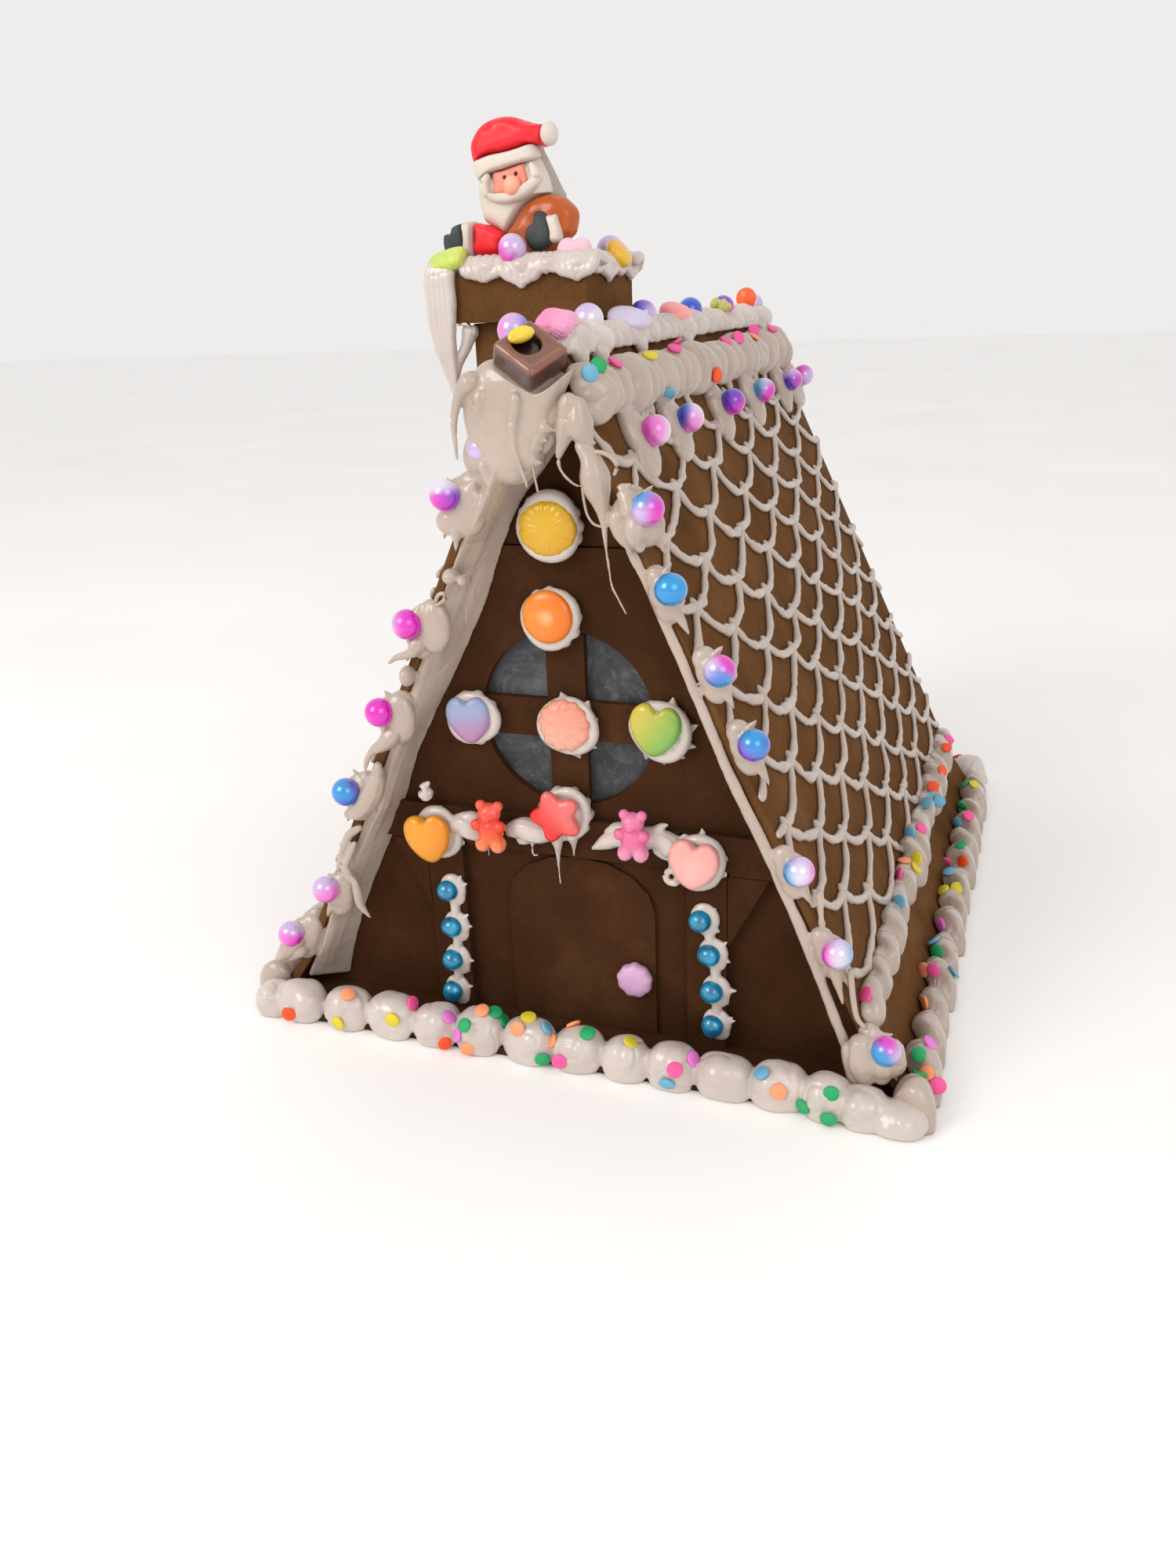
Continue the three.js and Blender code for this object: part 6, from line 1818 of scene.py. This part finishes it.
FRONT_CONFETTI = [
    ("o", 369, 1292), ("o", 456, 1253), ("o", 567, 1330), ("o", 1022, 1419), ("a", 444, 1269),
    ("a", 596, 1337), ("a", 615, 1290), ("a", 661, 1312), ("a", 706, 1328), ("a", 732, 1308),
    ("a", 993, 1392), ("y", 432, 1304), ("y", 501, 1300), ("y", 674, 1299), ("y", 803, 1330),
    ("v", 502, 1257), ("v", 572, 1298), ("v", 585, 1320), ("v", 883, 1351), ("k", 525, 1280),
    ("k", 714, 1353), ("k", 861, 1365), ("g", 552, 1264), ("g", 593, 1308), ("g", 631, 1292),
    ("g", 641, 1302), ("g", 750, 1319), ("g", 692, 1350), ("g", 850, 1326), ("g", 1060, 1394),
    ("g", 1025, 1411), ("g", 1057, 1426), ("b", 591, 1284), ("b", 696, 1312), ("b", 851, 1381),
    ("b", 972, 1370), ("b", 416, 1247)]
ROPE_CONFETTI = [
    ("g", 763, 467), ("k", 784, 464), ("b", 752, 476), ("y", 829, 455), ("k", 863, 438), ("k", 860, 446),
    ("o", 913, 478), ("b", 852, 501), ("k", 925, 436), ("k", 941, 431), ("k", 961, 422), ("a", 961, 431),
    ("k", 984, 420)]
EAVE_CONFETTI = [
    ("k", 1210, 944), ("o", 1207, 954), ("o", 1201, 983), ("o", 1190, 1004), ("b", 1186, 1013),
    ("b", 1183, 1024), ("b", 1198, 1022), ("k", 1174, 1057), ("b", 1161, 1063), ("y", 1169, 1096),
    ("y", 1167, 1108), ("a", 1153, 1099), ("k", 1148, 1115), ("b", 1148, 1150), ("o", 1166, 1168),
    ("v", 1166, 1189), ("k", 1105, 1269)]
SIDE_CONFETTI = [
    ("g", 1232, 1000), ("y", 1242, 1001), ("y", 1211, 1012), ("g", 1228, 1027), ("y", 1212, 1034),
    ("k", 1235, 1041), ("b", 1222, 1049), ("g", 1226, 1079), ("o", 1229, 1098), ("o", 1201, 1096),
    ("k", 1208, 1099), ("b", 1211, 1113), ("y", 1220, 1133), ("y", 1204, 1136), ("y", 1179, 1217),
    ("v", 1201, 1179), ("g", 1196, 1214), ("b", 1192, 1201), ("a", 1179, 1237), ("k", 1191, 1237),
    ("b", 1215, 1241), ("a", 1181, 1279), ("v", 1185, 1331), ("g", 1172, 1345), ("g", 1173, 1371),
    ("a", 1183, 1368), ("k", 1196, 1385)]

confetti_piece("confetti_front", ["base_row_front", "verge_front_dabs"], seen(FRONT_CONFETTI), 701)
confetti_piece("confetti_rope", ["rope_right"], seen(ROPE_CONFETTI), 702)
confetti_piece("confetti_eave_right", ["eave_row_right"], seen(EAVE_CONFETTI), 704)
confetti_piece("confetti_side_right", ["base_row_right"], seen(SIDE_CONFETTI), 705)


def scatter(rng, count, start, end, across, way):
    """Lines down onto a row from random places beside the line from start to end."""
    start, end, across = (np.asarray(p, float) for p in (start, end, across))
    lines = []
    for k in range(count):
        t = (k + rng.uniform(0.1, 0.9)) / count
        place = start + (end - start) * t + across * rng.uniform(-1, 1)
        lines.append((place, way, "oavkgyb"[rng.integers(7)]))
    return lines


def left_slope_scatter(rng, count, v, reach, h):
    """Lines onto a row at v down the left slope."""
    zero = on_slope(-1, (0, 0, 0))
    start, end = on_slope(-1, (v, 8, h)), on_slope(-1, (v, 277, h))
    across, inward = on_slope(-1, (reach, 0, 0)) - zero, on_slope(-1, (0, 0, -1)) - zero
    return scatter(rng, count, start, end, across, inward)


rng = np.random.default_rng(710)
confetti_piece("confetti_side_left", ["base_row_left"],
               scatter(rng, 26, (-127, -124, 40), (-127, 140, 40), (4.5, 0, 0), (0, 0, -1)), 711)
confetti_piece("confetti_eave_left", ["eave_row_left"],
               left_slope_scatter(rng, 20, SLOPE_LENGTH - 6.4, 4, 30), 712)
confetti_piece("confetti_back", ["base_row_back"],
               scatter(rng, 26, (-118, 156, 40), (118, 156, 40), (0, 4.5, 0), (0, 0, -1)), 713)
confetti_piece("confetti_rope_left", ["rope_left"], left_slope_scatter(rng, 9, 3, 5, 40), 714)


# ------------------------------------------------------------------ floor, light and camera
FLOOR_HALF = 6000.0
WORLD_COLOUR, WORLD_STRENGTH = (1.0, 0.985, 0.975, 1), 0.86
# Place, aim and size in metres, power and colour.
KEY = (-0.75, -1.1, 0.95), (0, 0, 0.12), 0.7, 9, (1.0, 0.95, 0.9)
FILL = (0.85, -0.95, 0.75), (0.05, -0.1, 0.12), 0.7, 3.4, (1.0, 0.98, 0.96)


def make_floor():
    corners = [(-1, -1, 0), (1, -1, 0), (1, 1, 0), (-1, 1, 0)]
    mesh = to_mesh("floor", (np.array(corners, float) * FLOOR_HALF, [np.array([[0, 1, 2, 3]])]))
    mesh.materials.append(floor_look())
    floor = bpy.data.objects.new("floor", mesh)
    bpy.context.scene.collection.objects.link(floor)


def area_light(name, place, aim, size, power, colour):
    data = bpy.data.lights.new(name, "AREA")
    data.size = size
    data.energy = power
    data.color = colour
    light = bpy.data.objects.new(name, data)
    bpy.context.scene.collection.objects.link(light)
    light.location = place
    light.rotation_mode = "QUATERNION"
    light.rotation_quaternion = (Vector(aim) - Vector(place)).to_track_quat("-Z", "Y")


def make_light():
    world = bpy.data.worlds.new("world")
    world.use_nodes = True
    background = world.node_tree.nodes["Background"]
    background.inputs["Color"].default_value = WORLD_COLOUR
    background.inputs["Strength"].default_value = WORLD_STRENGTH
    bpy.context.scene.world = world
    area_light("key", *KEY)
    area_light("fill", *FILL)
    bpy.context.scene.view_settings.view_transform = "Standard"


make_floor()
make_light()
make_camera()
